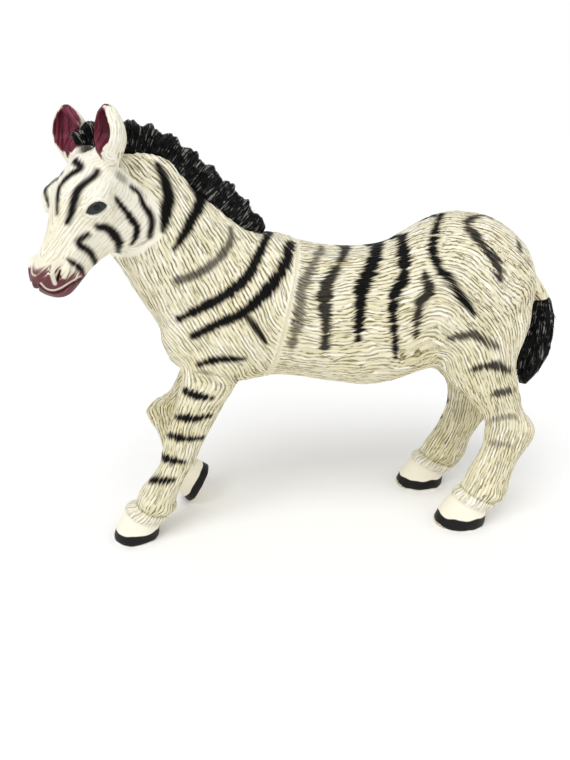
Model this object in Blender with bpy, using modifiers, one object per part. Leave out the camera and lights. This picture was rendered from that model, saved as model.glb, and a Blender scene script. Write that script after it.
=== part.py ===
# A walking zebra toy, moulded in painted PVC and plugged together from six mouldings.
# The head points to -X, the zebra's left side faces -Y, and +Z is up.

import math

import bmesh
import bpy
from mathutils import Matrix, Vector

MM = 0.001

# Main sizes of the animal
TRUNK_LENGTH = 100 * MM         # point of the chest to the point of the rump
POLL_HEIGHT = 100 * MM          # floor to the middle of the skull between the ears
BARREL_WIDTH = 36 * MM          # across the ribs
STANCE_WIDTH = 20 * MM          # between the middles of a left and a right hoof
NECK_WIDTH = 22 * MM            # across the neck at the shoulders
NECK_DEPTH = 36 * MM            # throat to crest at the shoulders

# Head and ears
HEAD_LENGTH = 33.4 * MM
HEAD_DEPTH = 21.6 * MM          # forehead to jaw
HEAD_WIDTH = 18 * MM            # across the eye sockets
HEAD_NOD = 48                   # degrees below level
HEAD_TURN = 50                  # degrees towards the left side
EAR_LENGTH = 9.8 * MM
EAR_WIDTH = 10.6 * MM
EAR_THICKNESS = 7 * MM
EAR_SPREAD = 13 * MM            # between the roots of the ears
EAR_WALL = 1.1 * MM             # round the hollow in front

# Legs and hooves
FORELEG_DEPTH = 12 * MM         # front to back, halfway down the forearm
FORELEG_WIDTH = 10 * MM
HINDLEG_DEPTH = 13 * MM         # front to back, halfway down the shank
HINDLEG_WIDTH = 10 * MM
FORE_HOOF_LENGTH = 12.4 * MM
HIND_HOOF_LENGTH = 14.6 * MM
HOOF_WIDTH = 12 * MM
HOOF_HEIGHT = 7.6 * MM

# Mane and tail
MANE_THICKNESS = 5.2 * MM
MANE_HEIGHT = 9.4 * MM          # with the tongue that sits in the crest
TAIL_STEM_THICKNESS = 5 * MM
TUFT_DEPTH = 10.5 * MM
TUFT_WIDTH = 6.5 * MM

# Mouldings, walls and plug joints
SHELL_WALL = 2.5 * MM
LIP_WALL = 1.4 * MM             # the collar on the front half
LIP_REACH = 3.5 * MM            # how far the collar goes into the rear half
JOINT_GAP = 0.3 * MM
PEG_DIAMETER = 5 * MM
PEG_LENGTH = 5.5 * MM           # into the chest
PEG_ROOT = 1.5 * MM             # into the leg
PEG_ALONG_SHARE = -0.245        # where the pegs of the forelegs stand along the trunk
PEG_SIDES = 20
REAR_CORE_REACH_SHARE = 0.54    # how far the hollow reaches behind the girth seam
FRONT_CORE_REACH_SHARE = 0.10   # and how far ahead of it
CUT_REACH = 200 * MM            # longer than the figure, for cutting blocks

# How finely the skin is made
SKIN_VOXEL = 1.0 * MM
SKIN_SMOOTHING = 7              # passes
SKIN_SMOOTHING_FACTOR = 0.5
SKIN_TRIANGLE_SHARE = 0.085
SKIN_SIDES = 28
SKIN_STEPS = 4
PLAIN_SIDES = 16
PLAIN_STEPS = 2
EAR_SIDES = 20
SWELLING_SIDES = 20
SWELLING_RINGS = 12

# Sections: 2 is an ellipse and more is squarer, and fullness widens the upper half
TRUNK_SQUARENESS = 2.15
HEAD_SQUARENESS = 2.2
MANE_SQUARENESS = 3
NECK_FULLNESS = -0.2
MANE_FULLNESS = -0.1

# The girth seam leans forwards on its way down
GIRTH_TOP_SHARE = (0.003, 0.816)
GIRTH_BOTTOM_SHARE = (-0.083, 0.450)

# Trunk sections: place along, top height, bottom height, width
TRUNK_SHARES = [
    (-0.358, 0.610, 0.545, 0.34),
    (-0.334, 0.660, 0.492, 0.58),
    (-0.280, 0.720, 0.455, 0.74),
    (-0.220, 0.765, 0.435, 0.86),
    (-0.150, 0.810, 0.435, 0.92),
    (-0.070, 0.838, 0.450, 0.94),
    (0.010, 0.815, 0.446, 0.95),
    (0.100, 0.797, 0.428, 0.98),
    (0.180, 0.795, 0.415, 1.00),
    (0.250, 0.806, 0.420, 1.00),
    (0.320, 0.842, 0.440, 0.98),
    (0.390, 0.878, 0.460, 0.98),
    (0.450, 0.884, 0.480, 0.97),
    (0.520, 0.870, 0.500, 0.92),
    (0.580, 0.838, 0.535, 0.80),
    (0.625, 0.790, 0.580, 0.62),
    (0.650, 0.735, 0.640, 0.36),
]

# Neck sections: place along, height, side, depth, width, lean in degrees
NECK_SHARES = [
    (-0.120, 0.620, 0.0, 1.00, 1.20, 40),
    (-0.190, 0.680, 0.0, 1.02, 1.16, 43),
    (-0.252, 0.735, 0.02, 0.97, 1.06, 45),
    (-0.315, 0.810, 0.08, 0.86, 0.88, 44),
    (-0.372, 0.885, 0.18, 0.77, 0.68, 40),
    (-0.412, 0.938, 0.30, 0.74, 0.60, 43),
    (-0.438, 0.975, 0.38, 0.52, 0.54, 49),
    (-0.450, 0.990, 0.42, 0.36, 0.40, 56),
]

# Head sections from the poll to the lips: along, middle above the axis, depth, width, fullness on top
HEAD_SHARES = [
    (-0.12, 0.02, 0.50, 0.44, 0.00),
    (0.00, -0.01, 0.88, 0.80, 0.00),
    (0.12, -0.05, 1.00, 0.93, 0.04),
    (0.26, -0.08, 1.04, 1.00, 0.06),
    (0.37, -0.08, 0.98, 0.96, 0.08),
    (0.49, -0.04, 0.80, 0.80, 0.04),
    (0.61, -0.02, 0.65, 0.65, 0.00),
    (0.73, -0.01, 0.57, 0.58, 0.00),
    (0.84, 0.00, 0.52, 0.60, 0.00),
    (0.94, 0.00, 0.44, 0.54, 0.00),
    (1.00, 0.00, 0.26, 0.34, 0.00),
]
HEAD_PLACE_SHARE = (-0.455, 0.987, 0.45)

# Soft swellings on both sides of the head: along, rise, side, and the three half sizes
HEAD_SWELLING_SHARES = [
    (0.30, 0.21, 0.42, 0.15, 0.16, 0.13),
    (0.21, -0.32, 0.37, 0.25, 0.30, 0.17),
    (0.86, 0.06, 0.22, 0.09, 0.14, 0.10),
]

# Ear sections from root to tip: along, width, thickness
EAR_SHARES = [
    (-0.35, 0.36, 0.50),
    (0.00, 0.74, 0.86),
    (0.20, 0.96, 0.98),
    (0.42, 1.00, 0.94),
    (0.66, 0.86, 0.74),
    (0.86, 0.60, 0.50),
    (1.00, 0.22, 0.22),
]
EAR_ROOT_SHARE = (-0.032, 0.351)    # along the head and above its axis
EAR_RAKE = 44                       # degrees from the head's axis, turned backwards
EAR_SPLAY = 4                       # degrees outwards
LEFT_EAR_FACING = -17               # degrees that the hollow turns outwards
RIGHT_EAR_FACING = 1
EAR_DISH_START_SHARE = 0.3          # size of the hollow at the root, of its size halfway up
EAR_DISH_RISE_SHARE = 0.5           # where along the ear the hollow reaches its full size

# Leg sections: place along, height, side, depth, width, lean in degrees
LEFT_FORELEG_SHARES = [
    (-0.160, 0.660, 0.66, 1.20, 0.90, 0),
    (-0.180, 0.600, 0.82, 1.40, 1.10, 0),
    (-0.198, 0.550, 0.94, 1.42, 1.18, 0),
    (-0.217, 0.500, 0.98, 1.36, 1.20, 0),
    (-0.240, 0.450, 1.00, 1.22, 1.16, 0),
    (-0.263, 0.400, 1.00, 1.10, 1.06, 0),
    (-0.289, 0.340, 1.00, 1.00, 0.96, 0),
    (-0.314, 0.280, 1.00, 0.90, 0.88, 0),
    (-0.330, 0.235, 1.00, 0.80, 0.80, 0),
    (-0.352, 0.195, 1.00, 0.78, 0.80, 0),
    (-0.380, 0.155, 1.00, 0.90, 0.90, 0),
    (-0.397, 0.115, 1.00, 0.92, 0.98, 0),
    (-0.412, 0.080, 1.02, 0.94, 1.02, 0),
    (-0.430, 0.045, 1.02, 0.84, 0.96, 0),
]
RIGHT_FORELEG_SHARES = [
    (-0.160, 0.660, -0.66, 1.20, 0.90, 0),
    (-0.180, 0.600, -0.82, 1.40, 1.10, 4),
    (-0.205, 0.540, -0.92, 1.46, 1.16, 12),
    (-0.237, 0.488, -0.95, 1.44, 1.14, 22),
    (-0.278, 0.430, -1.00, 1.36, 1.08, 36),
    (-0.325, 0.378, -1.00, 1.20, 1.00, 40),
    (-0.380, 0.328, -1.00, 0.86, 0.94, 20),
    (-0.386, 0.278, -1.00, 0.70, 0.84, -2),
    (-0.368, 0.235, -1.00, 0.64, 0.76, -8),
    (-0.357, 0.190, -1.00, 0.62, 0.76, -10),
    (-0.352, 0.150, -0.98, 0.72, 0.84, -25),
    (-0.338, 0.120, -0.96, 0.78, 0.88, -42),
    (-0.318, 0.096, -0.94, 0.70, 0.84, -55),
]
LEFT_HINDLEG_SHARES = [
    (0.480, 0.700, 0.50, 2.10, 1.30, 0),
    (0.495, 0.620, 0.80, 2.20, 1.56, 0),
    (0.500, 0.540, 0.95, 2.08, 1.50, 0),
    (0.500, 0.480, 1.02, 1.86, 1.36, 0),
    (0.522, 0.430, 1.06, 1.50, 1.22, 0),
    (0.545, 0.395, 1.08, 1.20, 1.08, 0),
    (0.566, 0.360, 1.10, 1.00, 0.98, 0),
    (0.595, 0.320, 1.10, 1.02, 0.92, 0),
    (0.608, 0.285, 1.10, 1.14, 0.90, 0),
    (0.597, 0.240, 1.12, 1.00, 0.86, 0),
    (0.578, 0.200, 1.14, 0.95, 0.84, 0),
    (0.560, 0.160, 1.15, 1.00, 0.88, 0),
    (0.552, 0.125, 1.16, 1.04, 0.98, 0),
    (0.535, 0.095, 1.18, 1.16, 1.04, 0),
    (0.510, 0.055, 1.18, 1.02, 1.04, 0),
]
RIGHT_HINDLEG_SHARES = [
    (0.480, 0.700, -0.50, 2.10, 1.30, 0),
    (0.500, 0.620, -0.80, 2.15, 1.56, 0),
    (0.510, 0.540, -0.95, 2.00, 1.50, 0),
    (0.520, 0.470, -1.02, 1.76, 1.32, 0),
    (0.540, 0.410, -1.06, 1.34, 1.14, 0),
    (0.556, 0.350, -1.08, 1.06, 1.00, 0),
    (0.565, 0.295, -1.10, 1.06, 0.92, 0),
    (0.560, 0.250, -1.10, 1.12, 0.90, 0),
    (0.535, 0.200, -1.12, 1.04, 0.86, 0),
    (0.510, 0.155, -1.14, 1.08, 0.90, 0),
    (0.500, 0.120, -1.16, 1.14, 1.00, 0),
    (0.480, 0.090, -1.18, 1.30, 1.06, 0),
    (0.455, 0.050, -1.18, 1.10, 1.06, 0),
]

# Hooves: place along, height, side, tip in degrees
LEFT_FORE_HOOF_SHARES = (-0.461, 0.0, 1.02, 0)
RIGHT_FORE_HOOF_SHARES = (-0.284, 0.049, -0.92, -58)
LEFT_HIND_HOOF_SHARES = (0.480, 0.0, 1.18, 0)
RIGHT_HIND_HOOF_SHARES = (0.425, 0.0, -1.18, 0)

# Hoof rings: height, shift to the heel, length, width, lean in degrees
HOOF_RING_SHARES = [
    (0.00, 0.00, 1.00, 1.00, 0),
    (0.10, 0.01, 1.02, 1.02, 3),
    (0.32, 0.05, 0.96, 0.97, 10),
    (0.66, 0.12, 0.86, 0.88, 18),
    (0.95, 0.19, 0.78, 0.80, 24),
    (1.06, 0.21, 0.62, 0.64, 24),
]

# The joint faces of the forelegs: height at the chest, height at the elbow, reach back and inner face
LEG_JOINT_FRONT_SHARE = (-0.340, 0.500)
LEG_JOINT_BACK_SHARE = (-0.150, 0.458)
LEG_JOINT_INNER_SHARE = 0.22

# Crest of the mane: place along, height, side, height of the hair, thickness, lean in degrees
MANE_SHARES = [
    (-0.516, 1.058, 1.02, 0.42, 0.80, -30),
    (-0.500, 1.068, 0.86, 0.66, 0.96, -8),
    (-0.468, 1.071, 0.62, 0.84, 1.04, 6),
    (-0.430, 1.069, 0.42, 0.90, 1.06, 12),
    (-0.395, 1.064, 0.32, 0.94, 1.06, 18),
    (-0.361, 1.054, 0.22, 0.95, 1.06, 28),
    (-0.320, 1.032, 0.12, 0.97, 1.06, 37),
    (-0.280, 1.000, 0.05, 1.00, 1.06, 43),
    (-0.240, 0.966, 0.01, 1.00, 1.04, 45),
    (-0.200, 0.930, 0.0, 1.00, 1.02, 46),
    (-0.160, 0.895, 0.0, 0.92, 1.00, 45),
    (-0.122, 0.866, 0.0, 0.66, 0.90, 40),
    (-0.078, 0.845, 0.0, 0.24, 0.50, 30),
]
MANE_WAVES = 11
MANE_WAVE_SHARE = 0.07

# Tail: place along, height, thickness front to back, thickness across, as shares of the stem
TAIL_STEM_SHARES = [
    (0.575, 0.800, 0.80, 0.80),
    (0.622, 0.772, 0.95, 0.95),
    (0.655, 0.728, 1.00, 1.05),
    (0.685, 0.680, 0.96, 1.05),
    (0.705, 0.640, 0.80, 0.90),
    (0.712, 0.610, 0.60, 0.70),
]
# Tuft: place along, height, thickness front to back, thickness across, as shares of the tuft
TUFT_SHARES = [
    (0.708, 0.655, 0.30, 0.50),
    (0.706, 0.620, 0.58, 0.84),
    (0.704, 0.575, 0.84, 1.00),
    (0.700, 0.520, 1.00, 1.04),
    (0.694, 0.470, 0.90, 0.92),
    (0.686, 0.425, 0.62, 0.66),
    (0.678, 0.385, 0.22, 0.26),
]


def clear_scene():
    for obj in list(bpy.data.objects):
        bpy.data.objects.remove(obj, do_unlink=True)


def make_collection(name):
    collection = bpy.data.collections.new(name)
    bpy.context.scene.collection.children.link(collection)
    return collection


def painted_pvc(name, colour, roughness):
    material = bpy.data.materials.new(name)
    material.use_nodes = True
    shader = material.node_tree.nodes["Principled BSDF"]
    shader.inputs["Base Color"].default_value = (*colour, 1)
    shader.inputs["Roughness"].default_value = roughness
    shader.inputs["Metallic"].default_value = 0
    return material


def smooth_rows(rows, steps):
    # Catmull-Rom curve through every column of a table of sections
    fine = []
    for index in range(len(rows) - 1):
        before = rows[max(index - 1, 0)]
        start = rows[index]
        end = rows[index + 1]
        after = rows[min(index + 2, len(rows) - 1)]
        for step in range(steps):
            t = step / steps
            row = []
            for a, b, c, d in zip(before, start, end, after):
                slope_in = (c - a) / 2
                slope_out = (d - b) / 2
                value = (
                    (2 * t ** 3 - 3 * t ** 2 + 1) * b
                    + (t ** 3 - 2 * t ** 2 + t) * slope_in
                    + (-2 * t ** 3 + 3 * t ** 2) * c
                    + (t ** 3 - t ** 2) * slope_out
                )
                row.append(value)
            fine.append(tuple(row))
    fine.append(tuple(rows[-1]))
    return fine


def ring_points(centre, up, side, half_up, half_side, fullness=0, squareness=2, sides=SKIN_SIDES):
    # One closed section, an ellipse that can be fuller on top and squarer at its corners
    points = []
    for number in range(sides):
        angle = 2 * math.pi * number / sides
        rise = math.sin(angle)
        spread = math.cos(angle)
        rise = math.copysign(abs(rise) ** (2 / squareness), rise)
        spread = math.copysign(abs(spread) ** (2 / squareness), spread)
        across = half_side * spread * (1 + fullness * rise)
        points.append(centre + up * (half_up * rise) + side * across)
    return points


def loft(name, rings, collection):
    # Skin between unlike sections, closed with a fan at each end
    mesh = bpy.data.meshes.new(name)
    shape = bmesh.new()
    loops = [[shape.verts.new(point) for point in ring] for ring in rings]
    sides = len(loops[0])
    for lower, upper in zip(loops, loops[1:]):
        for number in range(sides):
            following = (number + 1) % sides
            shape.faces.new((lower[number], lower[following], upper[following], upper[number]))
    for loop in (loops[0], loops[-1]):
        middle = shape.verts.new(sum((vertex.co for vertex in loop), Vector()) / sides)
        for number in range(sides):
            shape.faces.new((loop[number], loop[(number + 1) % sides], middle))
    bmesh.ops.recalc_face_normals(shape, faces=shape.faces)
    shape.to_mesh(mesh)
    shape.free()
    obj = bpy.data.objects.new(name, mesh)
    collection.objects.link(obj)
    return obj


def make_cutter(obj):
    obj.hide_render = True
    obj.display_type = "WIRE"
    return obj


def bake(obj):
    # Replace an object's mesh by the one that its modifiers give
    graph = bpy.context.evaluated_depsgraph_get()
    mesh = bpy.data.meshes.new_from_object(obj.evaluated_get(graph))
    obj.modifiers.clear()
    obj.data = mesh


def combine(obj, other, operation):
    modifier = obj.modifiers.new(operation.title(), "BOOLEAN")
    modifier.operation = operation
    # The manifold solver keeps the skin closed where the cupped ears meet it
    modifier.solver = "MANIFOLD"
    modifier.object = other
    bake(obj)


def remove(*objects):
    for obj in objects:
        bpy.data.objects.remove(obj, do_unlink=True)


def copy_of(obj, name, collection):
    duplicate = bpy.data.objects.new(name, obj.data.copy())
    collection.objects.link(duplicate)
    return duplicate


def body_point(along_share, height_share, side_share=0):
    return Vector((
        along_share * TRUNK_LENGTH,
        -side_share * STANCE_WIDTH / 2,
        height_share * POLL_HEIGHT,
    ))


def trunk(name, inset, steps, sides, collection):
    rings = []
    for along, top, bottom, width in smooth_rows(TRUNK_SHARES, steps):
        half_height = (top - bottom) / 2 * POLL_HEIGHT - inset
        half_width = width / 2 * BARREL_WIDTH - inset
        if half_height <= 0 or half_width <= 0:
            continue
        centre = body_point(along, (top + bottom) / 2)
        rings.append(ring_points(
            centre, Vector((0, 0, 1)), Vector((0, 1, 0)), half_height, half_width,
            squareness=TRUNK_SQUARENESS, sides=sides))
    return loft(name, rings, collection)


def limb(name, rows, full_depth, full_width, collection, fullness=0):
    # A limb or a neck: every section leans about the sideways axis
    rings = []
    for along, height, side, depth, width, lean in smooth_rows(rows, SKIN_STEPS):
        tilt = math.radians(lean)
        forwards = Vector((math.cos(tilt), 0, math.sin(tilt)))
        rings.append(ring_points(
            body_point(along, height, side), forwards, Vector((0, 1, 0)),
            depth * full_depth / 2, width * full_width / 2, fullness))
    return loft(name, rings, collection)


def head_frame():
    nod = math.radians(HEAD_NOD)
    turn = math.radians(HEAD_TURN)
    along = Vector((
        -math.cos(nod) * math.cos(turn),
        -math.cos(nod) * math.sin(turn),
        -math.sin(nod),
    ))
    crown = Vector((
        -math.sin(nod) * math.cos(turn),
        -math.sin(nod) * math.sin(turn),
        math.cos(nod),
    ))
    left = Vector((math.sin(turn), -math.cos(turn), 0))
    return body_point(*HEAD_PLACE_SHARE), along, crown, left


def head(name, collection):
    origin, along, crown, left = head_frame()
    rings = []
    for place, rise, depth, width, fullness in smooth_rows(HEAD_SHARES, SKIN_STEPS):
        centre = origin + along * (place * HEAD_LENGTH) + crown * (rise * HEAD_DEPTH)
        rings.append(ring_points(
            centre, crown, left, depth * HEAD_DEPTH / 2, width * HEAD_WIDTH / 2, fullness,
            HEAD_SQUARENESS))
    return loft(name, rings, collection)


def head_swellings(collection):
    # Eye sockets, cheeks and nostrils stand out a little on both sides
    origin, along, crown, left = head_frame()
    swellings = []
    for side in (1, -1):
        for place, rise, spread, long_half, tall_half, wide_half in HEAD_SWELLING_SHARES:
            mesh = bpy.data.meshes.new("swelling")
            shape = bmesh.new()
            bmesh.ops.create_uvsphere(
                shape, u_segments=SWELLING_SIDES, v_segments=SWELLING_RINGS, radius=1)
            for vertex in shape.verts:
                local = vertex.co.copy()
                vertex.co = (
                    origin
                    + along * ((place + local.x * long_half) * HEAD_LENGTH)
                    + crown * ((rise + local.y * tall_half) * HEAD_DEPTH)
                    + left * (side * (spread + local.z * wide_half) * HEAD_WIDTH)
                )
            bmesh.ops.recalc_face_normals(shape, faces=shape.faces)
            shape.to_mesh(mesh)
            shape.free()
            obj = bpy.data.objects.new("swelling", mesh)
            collection.objects.link(obj)
            swellings.append(obj)
    return swellings


def ear(name, side, turn, wall, collection):
    # A cupped leaf, or with a wall the hollow inside it, which breaks out in front
    origin, along, crown, left = head_frame()
    root_along, root_rise = EAR_ROOT_SHARE
    outwards = left * side
    root = (
        origin + along * (root_along * HEAD_LENGTH) + crown * (root_rise * HEAD_DEPTH)
        + outwards * (EAR_SPREAD / 2)
    )
    rake = math.radians(EAR_RAKE)
    splay = math.radians(EAR_SPLAY)
    facing = math.radians(turn)
    rise = crown * math.sin(rake) - along * math.cos(rake)
    stem = rise * math.cos(splay) + outwards * math.sin(splay)
    front = (along - stem * along.dot(stem)).normalized()
    across = (outwards - stem * outwards.dot(stem)).normalized()
    normal = front * math.cos(facing) + across * math.sin(facing)
    broad = across * math.cos(facing) - front * math.sin(facing)
    rings = []
    for place, width, thickness in smooth_rows(EAR_SHARES, 2):
        if wall and place < 0:
            continue
        half_thickness = thickness * EAR_THICKNESS / 2
        half_width = width * EAR_WIDTH / 2 - wall
        centre = root + stem * (place * (EAR_LENGTH - wall))
        if wall:
            opening = min(1, EAR_DISH_START_SHARE + place / EAR_DISH_RISE_SHARE)
            centre += normal * half_thickness
            half_thickness = (2 * half_thickness - wall) * opening
            half_width *= opening
        half_width = max(half_width, wall / 2)
        half_thickness = max(half_thickness, wall / 2)
        rings.append(ring_points(centre, normal, broad, half_thickness, half_width, sides=EAR_SIDES))
    return loft(name, rings, collection)


def hoof(name, place, length, collection):
    along, height, side, tip = place
    pose = (
        Matrix.Translation(body_point(along, height, side))
        @ Matrix.Rotation(math.radians(tip), 4, "Y")
    )
    rings = []
    for rise, shift, long_share, wide_share, lean in HOOF_RING_SHARES:
        tilt = math.radians(lean)
        forwards = Vector((math.cos(tilt), 0, -math.sin(tilt)))
        centre = Vector((shift * length, 0, rise * HOOF_HEIGHT))
        ring = ring_points(
            centre, forwards, Vector((0, 1, 0)), long_share * length / 2, wide_share * HOOF_WIDTH / 2)
        rings.append([pose @ point for point in ring])
    return loft(name, rings, collection)


def fuse(name, objects, collection):
    # One skin over overlapping forms, with soft hollows where they meet
    shape = bmesh.new()
    for obj in objects:
        shape.from_mesh(obj.data)
    mesh = bpy.data.meshes.new(name)
    shape.to_mesh(mesh)
    shape.free()
    skin = bpy.data.objects.new(name, mesh)
    collection.objects.link(skin)
    remesh = skin.modifiers.new("Skin", "REMESH")
    remesh.mode = "VOXEL"
    remesh.voxel_size = SKIN_VOXEL
    smooth = skin.modifiers.new("Smooth", "SMOOTH")
    smooth.factor = SKIN_SMOOTHING_FACTOR
    smooth.iterations = SKIN_SMOOTHING
    decimate = skin.modifiers.new("Decimate", "DECIMATE")
    decimate.ratio = SKIN_TRIANGLE_SHARE
    bake(skin)
    remove(*objects)
    return skin


def block(name, corners, low_side, high_side, collection):
    # A prism with a side outline given by corner points, between two sideways planes
    mesh = bpy.data.meshes.new(name)
    shape = bmesh.new()
    near = [shape.verts.new((x, low_side, z)) for x, z in corners]
    far = [shape.verts.new((x, high_side, z)) for x, z in corners]
    shape.faces.new(near)
    shape.faces.new(far)
    for number in range(len(corners)):
        following = (number + 1) % len(corners)
        shape.faces.new((near[number], near[following], far[following], far[number]))
    bmesh.ops.recalc_face_normals(shape, faces=shape.faces)
    shape.to_mesh(mesh)
    shape.free()
    obj = bpy.data.objects.new(name, mesh)
    collection.objects.link(obj)
    return make_cutter(obj)


def floor_block(name, collection):
    # Everything below the plane that the hooves stand on
    corners = [(-CUT_REACH, 0), (CUT_REACH, 0), (CUT_REACH, -CUT_REACH), (-CUT_REACH, -CUT_REACH)]
    return block(name, corners, -CUT_REACH, CUT_REACH, collection)


def girth_line(offset):
    # Two points far up and far down the girth seam, moved towards the tail by an offset
    top = body_point(*GIRTH_TOP_SHARE)
    bottom = body_point(*GIRTH_BOTTOM_SHARE)
    down = (bottom - top).normalized()
    back = Vector((-down.z, 0, down.x))
    upper = top - down * CUT_REACH + back * offset
    lower = bottom + down * CUT_REACH + back * offset
    return upper, lower, back


def girth_block(name, start, end, collection):
    # The space between two planes that lie parallel to the girth seam
    upper, lower, back = girth_line(start)
    corners = [
        (upper.x, upper.z),
        (lower.x, lower.z),
        ((lower + back * (end - start)).x, (lower + back * (end - start)).z),
        ((upper + back * (end - start)).x, (upper + back * (end - start)).z),
    ]
    return block(name, corners, -CUT_REACH, CUT_REACH, collection)


def foreleg_block(name, side, inset, collection):
    # The space that holds one foreleg below its joint face on the chest
    front = body_point(*LEG_JOINT_FRONT_SHARE)
    back = body_point(*LEG_JOINT_BACK_SHARE)
    direction = (back - front).normalized()
    far_front = front - direction * CUT_REACH
    corners = [
        (far_front.x, far_front.z - inset),
        (back.x - inset, back.z - inset),
        (back.x - inset, -CUT_REACH),
        (far_front.x, -CUT_REACH),
    ]
    inner = LEG_JOINT_INNER_SHARE * STANCE_WIDTH / 2 + inset
    sides = sorted((-side * inner, -side * CUT_REACH))
    return block(name, corners, sides[0], sides[1], collection)


def foreleg_peg(name, side, grow, collection):
    front = body_point(*LEG_JOINT_FRONT_SHARE)
    back = body_point(*LEG_JOINT_BACK_SHARE)
    slope = (back.z - front.z) / (back.x - front.x)
    along = PEG_ALONG_SHARE * TRUNK_LENGTH
    height = front.z + slope * (along - front.x) + (PEG_LENGTH - PEG_ROOT) / 2
    bpy.ops.mesh.primitive_cylinder_add(
        vertices=PEG_SIDES, radius=PEG_DIAMETER / 2 + grow, depth=PEG_LENGTH + PEG_ROOT + 2 * grow,
        location=(along, -side * STANCE_WIDTH / 2, height))
    peg = bpy.context.object
    peg.name = name
    for holder in list(peg.users_collection):
        holder.objects.unlink(peg)
    collection.objects.link(peg)
    peg.data.transform(peg.matrix_world)
    peg.matrix_world = Matrix.Identity(4)
    return make_cutter(peg)


def mane(name, grow, collection):
    rings = []
    rows = smooth_rows(MANE_SHARES, SKIN_STEPS)
    for number, (along, height, side, tall, thick, lean) in enumerate(rows):
        tilt = math.radians(lean)
        up = Vector((math.sin(tilt), 0, math.cos(tilt)))
        wave = math.sin(2 * math.pi * MANE_WAVES * number / len(rows))
        tall = tall * (1 + MANE_WAVE_SHARE * wave)
        centre = body_point(along, height, side) + up * (MANE_WAVE_SHARE * wave * MANE_HEIGHT / 2)
        rings.append(ring_points(
            centre, up, Vector((0, 1, 0)),
            tall * MANE_HEIGHT / 2 + grow, thick * MANE_THICKNESS / 2 + grow,
            MANE_FULLNESS, MANE_SQUARENESS, PLAIN_SIDES))
    return loft(name, rings, collection)


def tail_piece(name, rows, full_depth, full_width, grow, collection):
    rings = []
    fine = smooth_rows(rows, PLAIN_STEPS)
    for number, (along, height, depth, width) in enumerate(fine):
        before = fine[max(number - 1, 0)]
        after = fine[min(number + 1, len(fine) - 1)]
        path = body_point(after[0], after[1]) - body_point(before[0], before[1])
        path.normalize()
        outwards = Vector((-path.z, 0, path.x))
        rings.append(ring_points(
            body_point(along, height), outwards, Vector((0, 1, 0)),
            depth * full_depth / 2 + grow, width * full_width / 2 + grow, sides=PLAIN_SIDES))
    return loft(name, rings, collection)


def finish(obj, name, material, collection):
    obj.name = name
    obj.data.name = name
    obj.hide_render = False
    obj.display_type = "TEXTURED"
    for holder in list(obj.users_collection):
        holder.objects.unlink(obj)
    collection.objects.link(obj)
    obj.data.materials.clear()
    obj.data.materials.append(material)
    obj.data.shade_smooth()
    return obj


def centre_on_floor(parts, root):
    # The middle of the figure's footprint becomes the origin, and the soles lie at height zero
    graph = bpy.context.evaluated_depsgraph_get()
    corners = []
    for obj in parts:
        mesh = obj.evaluated_get(graph).data
        corners.extend(vertex.co.copy() for vertex in mesh.vertices)
    low = Vector(min(point[axis] for point in corners) for axis in range(3))
    high = Vector(max(point[axis] for point in corners) for axis in range(3))
    middle = (low + high) / 2
    root.location = (-middle.x, -middle.y, -low.z)
    for obj in parts:
        obj.parent = root


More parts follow.
